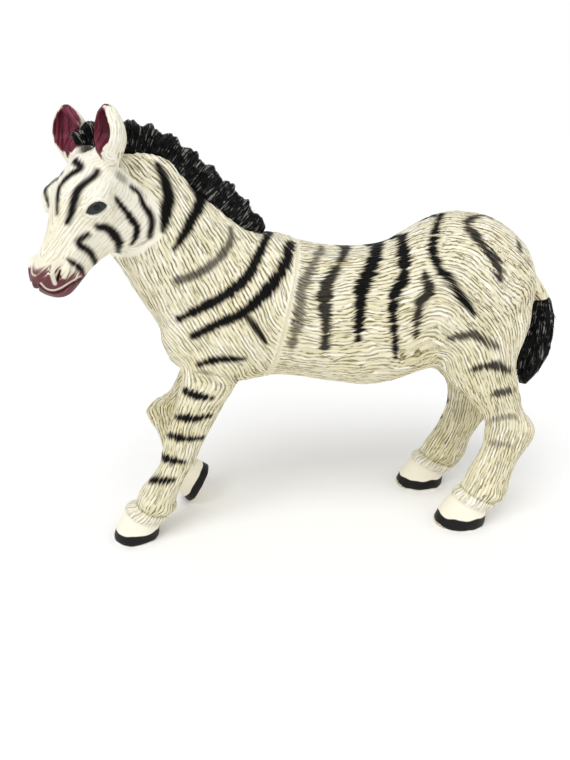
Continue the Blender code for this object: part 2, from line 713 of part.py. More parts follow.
def main():
    clear_scene()
    figure = make_collection("toy_zebra")
    cutters = make_collection("cutters")

    ivory = painted_pvc("ivory PVC", (0.80, 0.75, 0.60), 0.5)
    black = painted_pvc("black PVC", (0.02, 0.02, 0.02), 0.4)

    forms = [
        trunk("trunk_form", 0, SKIN_STEPS, SKIN_SIDES, cutters),
        limb("neck_form", NECK_SHARES, NECK_DEPTH, NECK_WIDTH, cutters, NECK_FULLNESS),
        head("head_form", cutters),
        limb("left_foreleg_form", LEFT_FORELEG_SHARES, FORELEG_DEPTH, FORELEG_WIDTH, cutters),
        limb("right_foreleg_form", RIGHT_FORELEG_SHARES, FORELEG_DEPTH, FORELEG_WIDTH, cutters),
        limb("left_hindleg_form", LEFT_HINDLEG_SHARES, HINDLEG_DEPTH, HINDLEG_WIDTH, cutters),
        limb("right_hindleg_form", RIGHT_HINDLEG_SHARES, HINDLEG_DEPTH, HINDLEG_WIDTH, cutters),
    ]
    forms.extend(head_swellings(cutters))
    skin = fuse("skin", forms, cutters)

    # Hooves and ears keep their crisp edges, so they join the skin after it is smoothed
    hooves = [
        hoof("left_fore_hoof", LEFT_FORE_HOOF_SHARES, FORE_HOOF_LENGTH, cutters),
        hoof("right_fore_hoof", RIGHT_FORE_HOOF_SHARES, FORE_HOOF_LENGTH, cutters),
        hoof("left_hind_hoof", LEFT_HIND_HOOF_SHARES, HIND_HOOF_LENGTH, cutters),
        hoof("right_hind_hoof", RIGHT_HIND_HOOF_SHARES, HIND_HOOF_LENGTH, cutters),
    ]
    for piece in hooves:
        combine(skin, piece, "UNION")
        remove(piece)
    for side, turn in ((1, LEFT_EAR_FACING), (-1, RIGHT_EAR_FACING)):
        outer = ear("ear_form", side, turn, 0, cutters)
        dish = ear("ear_dish", side, turn, EAR_WALL, cutters)
        combine(outer, dish, "DIFFERENCE")
        combine(skin, outer, "UNION")
        remove(outer, dish)

    # The toe of the lifted right forefoot is cut flat where it touches the floor
    below = floor_block("below_floor", cutters)
    combine(skin, below, "DIFFERENCE")
    remove(below)

    # The two halves of the body part at the girth
    front = copy_of(skin, "front_body", cutters)
    rear = copy_of(skin, "rear_body", cutters)
    front_space = girth_block("front_space", -CUT_REACH, 0, cutters)
    rear_space = girth_block("rear_space", JOINT_GAP, CUT_REACH, cutters)
    combine(front, front_space, "INTERSECT")
    combine(rear, rear_space, "INTERSECT")

    # The barrel is hollow, and a collar on the front half plugs into the rear half
    rear_core = trunk("rear_core", SHELL_WALL, 1, SKIN_SIDES, cutters)
    collar = trunk("collar", SHELL_WALL + JOINT_GAP, 1, SKIN_SIDES, cutters)
    front_core = trunk("front_core", SHELL_WALL + JOINT_GAP + LIP_WALL, 1, SKIN_SIDES, cutters)
    rear_reach = REAR_CORE_REACH_SHARE * TRUNK_LENGTH
    front_reach = FRONT_CORE_REACH_SHARE * TRUNK_LENGTH
    rear_limit = girth_block("rear_limit", -front_reach, rear_reach, cutters)
    collar_limit = girth_block("collar_limit", -front_reach, LIP_REACH, cutters)
    front_limit = girth_block("front_limit", -front_reach, rear_reach, cutters)
    combine(rear_core, rear_limit, "INTERSECT")
    combine(collar, collar_limit, "INTERSECT")
    combine(front_core, front_limit, "INTERSECT")
    combine(rear, rear_core, "DIFFERENCE")
    combine(front, collar, "UNION")
    combine(front, front_core, "DIFFERENCE")
    remove(rear_core, collar, front_core, rear_limit, collar_limit, front_limit)

    # Forelegs leave the front half at their joint faces and keep a peg
    legs = []
    for side, name in ((1, "left_foreleg"), (-1, "right_foreleg")):
        leg = copy_of(front, name, cutters)
        inside = foreleg_block("leg_inside", side, JOINT_GAP, cutters)
        outside = foreleg_block("leg_outside", side, 0, cutters)
        peg = foreleg_peg("leg_peg", side, 0, cutters)
        socket = foreleg_peg("leg_socket", side, JOINT_GAP, cutters)
        combine(leg, inside, "INTERSECT")
        combine(leg, peg, "UNION")
        combine(front, outside, "DIFFERENCE")
        combine(front, socket, "DIFFERENCE")
        remove(inside, outside, peg, socket)
        legs.append(leg)

    # The mane sits in a groove along the crest, and the tail's root in a socket
    mane_piece = mane("mane", 0, cutters)
    mane_groove = mane("mane_groove", JOINT_GAP, cutters)
    combine(front, mane_groove, "DIFFERENCE")
    stem = tail_piece("tail", TAIL_STEM_SHARES, TAIL_STEM_THICKNESS, TAIL_STEM_THICKNESS, 0, cutters)
    tuft = tail_piece("tuft", TUFT_SHARES, TUFT_DEPTH, TUFT_WIDTH, 0, cutters)
    root_socket = tail_piece(
        "root_socket", TAIL_STEM_SHARES, TAIL_STEM_THICKNESS, TAIL_STEM_THICKNESS, JOINT_GAP, cutters)
    combine(stem, tuft, "UNION")
    combine(rear, root_socket, "DIFFERENCE")
    remove(mane_groove, tuft, root_socket, skin, front_space, rear_space)

    parts = [
        finish(front, "front_body", ivory, figure),
        finish(rear, "rear_body", ivory, figure),
        finish(legs[0], "left_foreleg", ivory, figure),
        finish(legs[1], "right_foreleg", ivory, figure),
        finish(mane_piece, "mane", black, figure),
        finish(stem, "tail", black, figure),
    ]
    root = bpy.data.objects.new("toy_zebra_root", None)
    figure.objects.link(root)
    centre_on_floor(parts, root)
    for obj in parts:
        print(obj.name, "triangles:", sum(len(face.vertices) - 2 for face in obj.data.polygons))


main()
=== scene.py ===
# %% [markdown]
# # A walking toy zebra in painted PVC
# The toy is six mouldings that are plugged and glued together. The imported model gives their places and
# sizes. This script gives them what the eye sees: moulded hair, the wash of paint in its grooves, the
# airbrushed stripes, the face, the hooves, the locks of the mane and the strands of the tail.
# It is written as cells that can be read and run one after the other.

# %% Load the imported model
import math

import bmesh
import bpy
import numpy as np
from mathutils import Matrix, Vector
from mathutils.bvhtree import BVHTree
from mathutils.kdtree import KDTree


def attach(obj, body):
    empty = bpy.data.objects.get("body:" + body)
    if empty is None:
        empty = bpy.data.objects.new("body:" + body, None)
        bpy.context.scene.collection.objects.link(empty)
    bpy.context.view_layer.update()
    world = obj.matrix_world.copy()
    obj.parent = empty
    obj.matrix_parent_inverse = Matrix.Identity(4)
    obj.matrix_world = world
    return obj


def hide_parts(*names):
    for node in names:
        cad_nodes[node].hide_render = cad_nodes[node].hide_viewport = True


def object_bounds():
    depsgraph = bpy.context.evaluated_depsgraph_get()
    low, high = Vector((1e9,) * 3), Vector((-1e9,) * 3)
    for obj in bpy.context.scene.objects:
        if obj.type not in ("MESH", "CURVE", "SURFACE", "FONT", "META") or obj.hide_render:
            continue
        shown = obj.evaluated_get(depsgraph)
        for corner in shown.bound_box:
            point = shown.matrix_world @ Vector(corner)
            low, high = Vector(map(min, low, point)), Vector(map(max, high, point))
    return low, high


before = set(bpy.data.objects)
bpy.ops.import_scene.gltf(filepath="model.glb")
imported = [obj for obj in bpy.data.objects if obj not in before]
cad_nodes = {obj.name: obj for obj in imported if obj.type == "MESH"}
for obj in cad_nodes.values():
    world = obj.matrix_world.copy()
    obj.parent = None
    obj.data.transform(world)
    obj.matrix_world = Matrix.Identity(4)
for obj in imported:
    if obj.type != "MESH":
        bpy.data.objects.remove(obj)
cad_low, cad_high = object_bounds()
MM = 0.001
print("CAD box in mm:", [round((b - a) / MM, 1) for a, b in zip(cad_low, cad_high)])

# %% [markdown]
# ## The camera comes first
# The photograph was taken from about a hand's length above the toy's back, a little ahead of its middle.
# The camera is placed there at once, because later cells send rays through pixels of the photograph to
# find where a stripe or an eyelid lies on the skin. Blender's lens is the focal length in pixels, turned
# into millimetres of a 36 mm sensor on the long side of the picture.

# %% Place the camera
IMAGE_WIDTH = 570
IMAGE_HEIGHT = 760
FOCAL_PIXELS = 680
SENSOR = 36
CAMERA_PLACE = Vector((-25.6, -176.0, 111.2)) * MM
CAMERA_PITCH = math.radians(21)
CAMERA_YAW = math.radians(5.5)

camera_data = bpy.data.cameras.new("camera")
camera_data.sensor_width = SENSOR
camera_data.lens = FOCAL_PIXELS / IMAGE_HEIGHT * SENSOR
camera_data.clip_start = 10 * MM
camera = bpy.data.objects.new("camera", camera_data)
camera.location = CAMERA_PLACE
camera.rotation_euler = (math.pi / 2 - CAMERA_PITCH, 0, -CAMERA_YAW)
bpy.context.scene.collection.objects.link(camera)
bpy.context.scene.camera = camera

LOOK = np.array((
    math.sin(CAMERA_YAW) * math.cos(CAMERA_PITCH),
    math.cos(CAMERA_YAW) * math.cos(CAMERA_PITCH),
    -math.sin(CAMERA_PITCH),
))
RIGHT = np.array((math.cos(CAMERA_YAW), -math.sin(CAMERA_YAW), 0.0))
UP = np.cross(RIGHT, LOOK)
EYE_POINT = np.array(CAMERA_PLACE)


def to_pixels(points):
    """Where points of the toy fall in the photograph."""
    offset = points - EYE_POINT
    depth = offset @ LOOK
    return np.stack([
        IMAGE_WIDTH / 2 + FOCAL_PIXELS * (offset @ RIGHT) / depth,
        IMAGE_HEIGHT / 2 - FOCAL_PIXELS * (offset @ UP) / depth,
    ], axis=1)


def pixel_ray(x, y):
    """The direction from the camera through a pixel."""
    direction = (
        LOOK
        + RIGHT * ((x - IMAGE_WIDTH / 2) / FOCAL_PIXELS)
        - UP * ((y - IMAGE_HEIGHT / 2) / FOCAL_PIXELS)
    )
    return Vector(direction).normalized()


print("lens in mm:", round(camera_data.lens, 1))

# %% [markdown]
# ## One smooth skin over the four ivory mouldings
# The CAD solids are faceted and have 0.3 mm gaps at their joints. A copy of the four ivory solids is
# swollen by half a gap, so that they close up, and remeshed with a fine voxel grid. The grid makes even
# little squares, which can be smoothed, carved and painted, and it leaves out the hollow barrel.

# %% Build the skin mesh
SKIN_NODES = ("front_body", "rear_body", "left_foreleg", "right_foreleg")
SWELL = 0.24 * MM
SKIN_VOXEL = 0.46 * MM


def new_object(name, mesh):
    """An object with this mesh, linked to the scene."""
    obj = bpy.data.objects.new(name, mesh)
    bpy.context.scene.collection.objects.link(obj)
    return obj


def evaluated_mesh(obj):
    """The plain mesh that an object's modifiers give."""
    graph = bpy.context.evaluated_depsgraph_get()
    return bpy.data.meshes.new_from_object(obj.evaluated_get(graph))


def remeshed_copy(name, node_names, swell, voxel):
    """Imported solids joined, swollen a little and remade as even little squares."""
    shape = bmesh.new()
    for node_name in node_names:
        shape.from_mesh(cad_nodes[node_name].data)
    bmesh.ops.remove_doubles(shape, verts=shape.verts, dist=0.001 * MM)
    shape.normal_update()
    normals = [vertex.normal.copy() for vertex in shape.verts]
    for vertex, normal in zip(shape.verts, normals):
        vertex.co += normal * swell
    mesh = bpy.data.meshes.new(name)
    shape.to_mesh(mesh)
    shape.free()
    obj = new_object(name, mesh)
    remesh = obj.modifiers.new("Voxels", "REMESH")
    remesh.mode = "VOXEL"
    remesh.voxel_size = voxel
    finer = evaluated_mesh(obj)
    obj.modifiers.clear()
    obj.data = finer
    return obj


def keep_largest_part(obj):
    """Drop loose shells, such as the wall of the hollow barrel."""
    shape = bmesh.new()
    shape.from_mesh(obj.data)
    shape.verts.ensure_lookup_table()
    seen = np.zeros(len(shape.verts), bool)
    parts = []
    for start in shape.verts:
        if seen[start.index]:
            continue
        seen[start.index] = True
        part = [start]
        for vertex in part:
            for edge in vertex.link_edges:
                other = edge.other_vert(vertex)
                if not seen[other.index]:
                    seen[other.index] = True
                    part.append(other)
        parts.append(part)
    parts.sort(key=len)
    for part in parts[:-1]:
        bmesh.ops.delete(shape, geom=part, context="VERTS")
    shape.to_mesh(obj.data)
    shape.free()
    return len(parts)


skin = remeshed_copy("skin", SKIN_NODES, SWELL, SKIN_VOXEL)
loose_parts = keep_largest_part(skin)
print("skin vertices:", len(skin.data.vertices), "shells found:", loose_parts)

# %% [markdown]
# ## Meshes as tables of numbers
# The skin has some two hundred thousand vertices, so places, normals and edges are read into tables and
# worked on all at once. The mean over the neighbours is the tool for smoothing, and falloff fades things out.

# %% Tables of points
def read_points(mesh):
    points = np.empty(len(mesh.vertices) * 3, np.float32)
    mesh.vertices.foreach_get("co", points)
    return points.reshape(-1, 3).astype(np.float64)


def write_points(mesh, points):
    mesh.vertices.foreach_set("co", points.astype(np.float32).ravel())
    mesh.update()


def read_normals(mesh):
    normals = np.empty(len(mesh.vertices) * 3, np.float32)
    mesh.vertex_normals.foreach_get("vector", normals)
    return normals.reshape(-1, 3).astype(np.float64)


def read_edges(mesh):
    edges = np.empty(len(mesh.edges) * 2, np.int32)
    mesh.edges.foreach_get("vertices", edges)
    return edges.reshape(-1, 2)


def row_dot(first, second):
    """The dot product of each vector of one list with its partner in the other."""
    return np.einsum("ij,ij->i", first, second)


def along_surface(ways, normals):
    """Directions turned into the surface and made one long."""
    flat = ways - normals * row_dot(ways, normals)[:, None]
    return flat / np.maximum(np.linalg.norm(flat, axis=1, keepdims=True), 1e-12)


def neighbour_mean(values, edges):
    """For every point, the mean of the values at the other ends of its edges."""
    count = len(values)
    first, second = edges[:, 0], edges[:, 1]
    number = np.bincount(first, minlength=count) + np.bincount(second, minlength=count)
    columns = []
    for column in values.reshape(count, -1).T:
        total = np.bincount(first, weights=column[second], minlength=count)
        total += np.bincount(second, weights=column[first], minlength=count)
        columns.append(total / np.maximum(number, 1))
    return np.stack(columns, axis=1).reshape(values.shape)


def relax(points, edges, passes, weight=1.0, push=0.5, pull=-0.51):
    """Smooths by the weight; the pull is the step back that keeps the size."""
    for _ in range(passes):
        for factor in (push, pull):
            points = points + (neighbour_mean(points, edges) - points) * (factor * weight)
    return points


def falloff(distance, radius):
    """1 at the middle, 0 at the radius, with soft ends."""
    share = np.clip(1 - distance / radius, 0, 1)
    return share * share * (3 - 2 * share)


print("skin edges:", len(read_edges(skin.data)))

# %% [markdown]
# ## Where the head and the hooves are
# The head is turned to the left and nods, and one fore hoof is raised and tipped. What is sculpted there is
# worked out in the head's and the hoof's own frame.

# %% Head and hooves
HEAD_ORIGIN = np.array((-51.365, -1.152, 98.7)) * MM
HEAD_NOD = math.radians(48)
HEAD_TURN = math.radians(50)
HEAD_ALONG = np.array((
    -math.cos(HEAD_NOD) * math.cos(HEAD_TURN),
    -math.cos(HEAD_NOD) * math.sin(HEAD_TURN),
    -math.sin(HEAD_NOD),
))
HEAD_CROWN = np.array((
    -math.sin(HEAD_NOD) * math.cos(HEAD_TURN),
    -math.sin(HEAD_NOD) * math.sin(HEAD_TURN),
    math.cos(HEAD_NOD),
))
HEAD_LEFT = np.array((math.sin(HEAD_TURN), -math.cos(HEAD_TURN), 0.0))
MIDDLE_Y = 3.348 * MM

HOOF_HEIGHT = 7.6 * MM
HOOF_LEAN = 24
# Each hoof: middle of its sole, length, and how far it is tipped about the sideways axis
HOOVES = {
    "left_fore": (np.array((-51.965, -6.852, 0.0)) * MM, 12.4 * MM, 0),
    "right_fore": (np.array((-34.265, 12.548, 4.9)) * MM, 12.4 * MM, -58),
    "left_hind": (np.array((42.135, -8.452, 0.0)) * MM, 14.6 * MM, 0),
    "right_hind": (np.array((36.635, 15.148, 0.0)) * MM, 14.6 * MM, 0),
}


def hoof_space(points, name):
    """Points in the hoof's own frame, and their height over the slanting coronet plane."""
    sole, length, tip = HOOVES[name]
    turn = np.array(Matrix.Rotation(math.radians(tip), 3, "Y"))
    local = (points - sole) @ turn
    lean = math.radians(HOOF_LEAN)
    over = local - np.array((0.19 * length, 0, 0.86 * HOOF_HEIGHT))
    height = over[:, 0] * math.sin(lean) + over[:, 2] * math.cos(lean)
    return local, height


def head_space(points):
    """Points along the head, above its axis and to its left."""
    offset = points - HEAD_ORIGIN
    return np.stack([offset @ HEAD_ALONG, offset @ HEAD_CROWN, offset @ HEAD_LEFT], axis=1)


print("tip of the nose:", [round(c / MM, 1) for c in HEAD_ORIGIN + HEAD_ALONG * 33 * MM])

# %% [markdown]
# ## Smooth the facets away
# Every vertex is moved towards the middle of its neighbours, many times over. Plain smoothing shrinks
# thin legs, so each pass is followed by one of about the same strength the other way. Hooves and ears have
# crisp edges on the real toy, so they get only a little of it.

# %% Smooth the skin
EAR_FOOT = 103.6 * MM
SMOOTH_PASSES = 34
LAST_PASSES = 4

points = read_points(skin.data)
edges = read_edges(skin.data)
crisp = np.zeros(len(points))
for name in HOOVES:
    local, height = hoof_space(points, name)
    near = np.linalg.norm(local[:, :2], axis=1) < 12 * MM
    crisp = np.maximum(crisp, np.where(near, np.clip(1 - height / MM, 0, 1), 0))
up_ear = (points[:, 2] - EAR_FOOT) / MM
crisp = np.maximum(crisp, np.clip(up_ear, 0, 1) * (head_space(points)[:, 0] < 6 * MM))
points = relax(points, edges, SMOOTH_PASSES, (1 - 0.93 * crisp)[:, None])
points = relax(points, edges, LAST_PASSES, pull=0)
write_points(skin.data, points)
points -= read_normals(skin.data) * (SWELL * 0.75)
write_points(skin.data, points)
print("smoothed", len(points), "points")

# %% [markdown]
# ## Finer squares for the face
# The eyes and nostrils of the toy are only a few millimetres wide. Rather than make the whole skin finer,
# only the faces of the head are subdivided, and those round the eyes, nostrils and mouth once more.

# %% Refine the head
EYE = np.array((12.6, 3.0, 7.4)) * MM
NOSTRIL = np.array((28.6, 1.0, 4.4)) * MM
SKULL_HALF_DEPTH = 13.2
SKULL_HALF_WIDTH = 11.2


def refine(obj, chosen):
    """Cut every edge between chosen vertices in two."""
    shape = bmesh.new()
    shape.from_mesh(obj.data)
    cut = [edge for edge in shape.edges if chosen[edge.verts[0].index] and chosen[edge.verts[1].index]]
    bmesh.ops.subdivide_edges(shape, edges=cut, cuts=1, use_grid_fill=True)
    shape.to_mesh(obj.data)
    shape.free()


def head_mirror(points):
    """The other side of the face."""
    side = (points - HEAD_ORIGIN) @ HEAD_LEFT
    return points - 2 * side[:, None] * HEAD_LEFT


def in_head(points):
    """Which points lie in a round bar about the head's axis, ears left out."""
    place = head_space(points) / MM
    round_skull = (place[:, 1] / SKULL_HALF_DEPTH) ** 2 + (place[:, 2] / SKULL_HALF_WIDTH) ** 2 < 1
    return (place[:, 0] > -1) & (place[:, 0] < 36) & round_skull


points = read_points(skin.data)
refine(skin, in_head(points))
points = read_points(skin.data)
place = head_space(points)
folded = place * np.array((1, 1, 0)) + np.abs(place) * np.array((0, 0, 1))
close = np.linalg.norm(folded - EYE, axis=1) < 3.6 * MM
close |= np.linalg.norm(folded - NOSTRIL, axis=1) < 2.6 * MM
refine(skin, close)
points = read_points(skin.data)
points = relax(points, read_edges(skin.data), 3, np.where(in_head(points), 1.0, 0.0)[:, None])
write_points(skin.data, points)
print("skin vertices with the finer face:", len(points))

# %% [markdown]
# ## Drawing on the skin
# A line is drawn with a few pixel places of the photograph, smoothed with a cubic curve that runs through
# them, and cast from the camera onto the skin. From then on it lies in the toy's own space, so it can be
# mirrored to the other side, raised as a ridge, sunk as a crease or painted as a stripe.

# %% Lines and outlines
NUDGES = [(0, 0)] + [
    (reach * math.cos(turn * math.pi / 4), reach * math.sin(turn * math.pi / 4))
    for reach in (1.5, 3, 5, 7)
    for turn in range(8)
]


def smooth_line(line, step):
    """A cubic curve through the places of a line, sampled about every step."""
    line = np.array(line, float)
    ends = np.vstack([2 * line[0] - line[1], line, 2 * line[-1] - line[-2]])
    samples = []
    for before, start, end, after in zip(ends, ends[1:], ends[2:], ends[3:]):
        count = max(2, math.ceil(np.linalg.norm((end - start)[:2]) / step))
        t = (np.arange(count) / count)[:, None]
        samples.append(0.5 * (
            2 * start
            + (end - before) * t
            + (2 * before - 5 * start + 4 * end - after) * t ** 2
            + (3 * start - before - 3 * end + after) * t ** 3
        ))
    samples.append(line[-1:])
    return np.vstack(samples)


def tree_of(mesh):
    """The mesh as a search tree for rays."""
    shape = bmesh.new()
    shape.from_mesh(mesh)
    tree = BVHTree.FromBMesh(shape)
    shape.free()
    return tree


def lay(line, step=0.8):
    """Cast a drawn line onto the skin. Numbers after the pixel place are carried along."""
    laid = []
    for sample in smooth_line(line, step):
        for shift_x, shift_y in NUDGES:
            ray = pixel_ray(sample[0] + shift_x, sample[1] + shift_y)
            hit = skin_tree.ray_cast(CAMERA_PLACE, ray)[0]
            if hit:
                laid.append((*hit, *sample[2:]))
                break
    return np.array(laid)


def lay_from_right(samples):
    """Cast samples of (x, z) and what they carry straight across onto the right side of the skin."""
    laid = []
    for x, z, *rest in samples:
        hit = skin_tree.ray_cast(Vector((x, 60 * MM, z)), Vector((0, -1, 0)))[0]
        if hit:
            laid.append((*hit, *rest))
    return np.array(laid)


def body_mirror(laid):
    """A laid line on the other side of the body."""
    mirrored = laid.copy()
    mirrored[:, 1] = 2 * MIDDLE_Y - mirrored[:, 1]
    return mirrored


def head_mirror_line(laid):
    """A laid line on the other side of the turned head."""
    mirrored = laid.copy()
    mirrored[:, :3] = head_mirror(laid[:, :3])
    return mirrored


def measure_to(points, laid, reach):
    """Distance from every point to a laid line, and the nearest sample of the line."""
    distance = np.full(len(points), reach)
    nearest = np.zeros(len(points), int)
    low = laid[:, :3].min(axis=0) - reach
    high = laid[:, :3].max(axis=0) + reach
    close = np.where(np.all((points > low) & (points < high), axis=1))[0]
    for part in np.array_split(close, 1 + len(close) * len(laid) // 3_000_000):
        gap = np.linalg.norm(points[part, None, :] - laid[None, :, :3], axis=2)
        nearest[part] = gap.argmin(axis=1)
        distance[part] = np.minimum(gap.min(axis=1), reach)
    return distance, nearest


def near_line(points, laid, radius):
    """1 on a laid line, 0 from a radius in millimetres on."""
    distance, _ = measure_to(points, laid, radius * MM)
    return falloff(distance, radius * MM)


def depth_inside(pixels, outline, step=1.0):
    """How many pixels inside a closed outline each place lies, negative outside."""
    corners = smooth_line(list(outline) + [outline[0]], step)[:-1]
    following = np.roll(corners, -1, axis=0)
    depth = np.full(len(pixels), -99.0)
    low, high = corners.min(axis=0) - 12, corners.max(axis=0) + 12
    close = np.where(np.all((pixels > low) & (pixels < high), axis=1))[0]
    x, y = pixels[close, 0], pixels[close, 1]
    inside = np.zeros(len(close), bool)
    gap = np.full(len(close), 99.0)
    for (x1, y1), (x2, y2) in zip(corners, following):
        run, rise = x2 - x1, y2 - y1
        along = np.clip(((x - x1) * run + (y - y1) * rise) / max(run ** 2 + rise ** 2, 1e-9), 0, 1)
        gap = np.minimum(gap, np.hypot(x - x1 - along * run, y - y1 - along * rise))
        if y1 != y2:
            crosses = (y1 > y) != (y2 > y)
            inside ^= crosses & (x < run * (y - y1) / rise + x1)
    depth[close] = np.where(inside, gap, -gap)
    return depth


skin_tree = tree_of(skin.data)
print("a line along the back has", len(lay([(297, 245), (350, 252), (400, 243)])), "samples")

# %% [markdown]
# ## The face
# The eyelids, the rims of the nostrils and the lips are part of the moulding. Each is a line or an outline
# drawn over the near side of the face, and used a second time on the mirrored points for the far side.

# %% Sculpt the face
HEAD_PIXEL = 0.283 * MM
EYE_OUTLINE = [
    (85.9, 213.0), (88.6, 207.2), (93.2, 203.0), (98.8, 201.2), (103.2, 202.4), (106.4, 205.3),
    (105.2, 209.0), (101.6, 212.2), (96.6, 214.5), (91.0, 215.0),
]
PUPIL = (97.0, 207.2, 3.4)
NOSTRIL_OUTLINE = [
    (59.2, 268.6), (62.2, 269.4), (61.6, 273.0), (60.6, 277.0), (59.4, 281.0), (56.6, 282.2),
    (55.8, 278.6), (57.2, 273.4),
]
NOSTRIL_RIM = [
    (54.6, 283.5), (52.2, 276.5), (52.8, 269), (56.0, 263.2), (60.6, 260.8), (65.2, 262.4),
    (67.4, 267.2), (66.6, 272.6), (64.4, 277),
]
MOUTH = [(81.5, 278.6), (76, 281.4), (70.6, 284.6), (62.5, 290.2), (54, 292.8), (46, 291.2), (39.4, 285.4)]
LIP_RIDGE = [
    (80.5, 276.0), (74.5, 279.6), (68.8, 283.0), (61, 287.8), (53.6, 290.2), (46.4, 288.6), (40.6, 283),
]
CHEEK_EDGE = [(140, 190), (149, 202), (154.5, 215), (155, 228), (149, 239.5), (138, 246.5), (124, 251.5)]
BROW = [(83.5, 207.5), (87.5, 200.5), (95, 196.4), (103, 197.4), (109.5, 202)]
UNDER_EYE = [(88, 219.5), (95, 219.6), (103, 216.6), (109, 211)]
FACE_CREST = [(110, 222), (98, 229), (86, 240), (76, 251)]
NOSE_SIDE = [(78, 226), (69, 242), (61, 253)]
# Each line with its radius and its height in mm, below zero for a crease
FACE_RELIEF = (
    (BROW, 2.4, 0.55), (UNDER_EYE, 1.8, 0.22), (FACE_CREST, 2.4, 0.35), (NOSE_SIDE, 2.6, -0.3),
    (NOSTRIL_RIM, 1.15, 0.62), (LIP_RIDGE, 0.75, 0.32), (MOUTH, 0.55, -0.55), (CHEEK_EDGE, 1.5, -0.6),
)
EYE_SOCKET = 0.42
EYE_BULGE = 0.85
LID_HEIGHT = 0.34
LID_FOLD = 0.16
NOSTRIL_DEPTH = 1.25


def both_sides_seen(points, normals):
    """The near half of the face as the camera sees it, then the far half as if it were the near one."""
    views = []
    for mirror in (False, True):
        seen = head_mirror(points) if mirror else points
        turned = normals - 2 * (normals @ HEAD_LEFT)[:, None] * HEAD_LEFT if mirror else normals
        place = head_space(seen)
        faces = row_dot(turned, EYE_POINT - seen) > 0
        views.append((to_pixels(seen), in_head(seen) & faces & (place[:, 2] > 0)))
    return views


points = read_points(skin.data)
normals = read_normals(skin.data)
lift = np.zeros(len(points))
for line, radius, height in FACE_RELIEF:
    laid = lay(line, 0.5)
    for side in (laid, head_mirror_line(laid)):
        lift += height * MM * near_line(points, side, radius)
eye_depth = np.full(len(points), -9.0)
pupil_depth = np.full(len(points), -9.0)
nostril_depth = np.full(len(points), -9.0)
for pixels, seen in both_sides_seen(points, normals):
    for deepest, inside in (
        (eye_depth, depth_inside(pixels, EYE_OUTLINE)),
        (pupil_depth, PUPIL[2] - np.hypot(pixels[:, 0] - PUPIL[0], pixels[:, 1] - PUPIL[1])),
        (nostril_depth, depth_inside(pixels, NOSTRIL_OUTLINE)),
    ):
        deepest[seen] = np.maximum(deepest, inside * HEAD_PIXEL / MM)[seen]
ball = np.sqrt(1 - (1 - np.clip(eye_depth / 1.5, 0, 1)) ** 2)
lift += np.where(eye_depth > 0, (EYE_BULGE * ball - EYE_SOCKET) * MM, 0)
lift += LID_HEIGHT * MM * falloff(np.abs(eye_depth + 0.35), 0.42) * (eye_depth < 0)
lift -= LID_FOLD * MM * falloff(np.abs(eye_depth + 1.15), 0.4)
lift -= NOSTRIL_DEPTH * MM * falloff(np.maximum(0.7 - nostril_depth, 0), 0.8)
points += normals * lift[:, None]
write_points(skin.data, points)
print("raised up to", round(lift.max() / MM, 2), "mm, sunk to", round(lift.min() / MM, 2), "mm")

# %% [markdown]
# ## Coronets, folds and the flash line
# Over each hoof the mould has a puffy ring of hair, and a tuft behind the fetlock. Their places are worked
# out in the hoof's own frame, which is tipped on the raised foot. The fold of the flank and the crease over
# the leg are drawn lines. The backs of the thighs are hollowed. The flash at the girth, where the two
# halves of the body are glued, is a thin ridge along a plane.

# %% Sculpt the legs and the seam
GIRTH_POINT = np.array((-5.565, 3.348, 81.6)) * MM
GIRTH_NORMAL = np.array((math.cos(math.radians(-13.2)), 0, math.sin(math.radians(-13.2))))
CORONET_HEIGHT = 2.8
# Rings about each foot: height over the hoof, reach and lift in mm, and whether only its back has it
FOOT_RINGS = [
    (CORONET_HEIGHT / 2, CORONET_HEIGHT * 0.62, 0.75, False), (-0.25, 0.5, -0.3, False),
    (CORONET_HEIGHT + 3.2, 2.6, 1.0, True), (CORONET_HEIGHT / 2, CORONET_HEIGHT / 2, -0.5, True),
    (CORONET_HEIGHT + 0.5, 0.6, -0.28, False),
]
# A share of the height over each sole; a small one makes a wide black band
HOOF_BANDS = {"left_fore": 0.82, "right_fore": 0.95, "left_hind": 0.7, "right_hind": 0.72}
FLANK_FOLD = [(437, 326), (436.6, 345), (438.5, 369)]
ELBOW_FOLD = [(197, 372.5), (217, 376), (237, 381), (246, 379)]
STIFLE_FOLD = [(442, 372), (452, 380), (462, 386)]
# Each fold with its radius and depth in mm
FOLDS = ((FLANK_FOLD, 1.0, -0.4), (ELBOW_FOLD, 0.8, -0.45), (STIFLE_FOLD, 1.6, -0.4))
# Height, reach and depth in mm of the hollow at the back of the thighs, behind which the tuft shows
THIGH_HOLLOW = (51, 13, 2.8)
FLASH_HEIGHT = 0.2
FLASH_RADIUS = 0.6
TRUNK_FOOT = 40 * MM

points = read_points(skin.data)
normals = read_normals(skin.data)
level, reach, depth = THIGH_HOLLOW
back = np.clip((points[:, 0] / MM - 44) / 16, 0, 1)
hollow = falloff(np.abs(points[:, 2] / MM - level), reach) * back ** 2 * (3 - 2 * back)
points[:, 0] -= depth * MM * hollow
lift = np.zeros(len(points))
coronet = np.full(len(points), 9.0)
hoof_height = np.full(len(points), 99.0)
for name in HOOVES:
    local, height = hoof_space(points, name)
    near = (np.linalg.norm(local[:, :2], axis=1) < 11 * MM) & (np.abs(local[:, 2]) < 14 * MM)
    height = np.where(near, height / MM, 9)
    behind = np.clip((local[:, 0] / MM - 1.5) / 3, 0, 1)
    for middle, reach, rise, only_back in FOOT_RINGS:
        ring = rise * MM * falloff(np.abs(height - middle), reach)
        lift += ring * behind if only_back else ring
    coronet = np.where(np.abs(height) < np.abs(coronet), height, coronet)
    over_sole = np.where(near, local[:, 2] / MM * HOOF_BANDS[name], 99)
    hoof_height = np.minimum(hoof_height, over_sole)
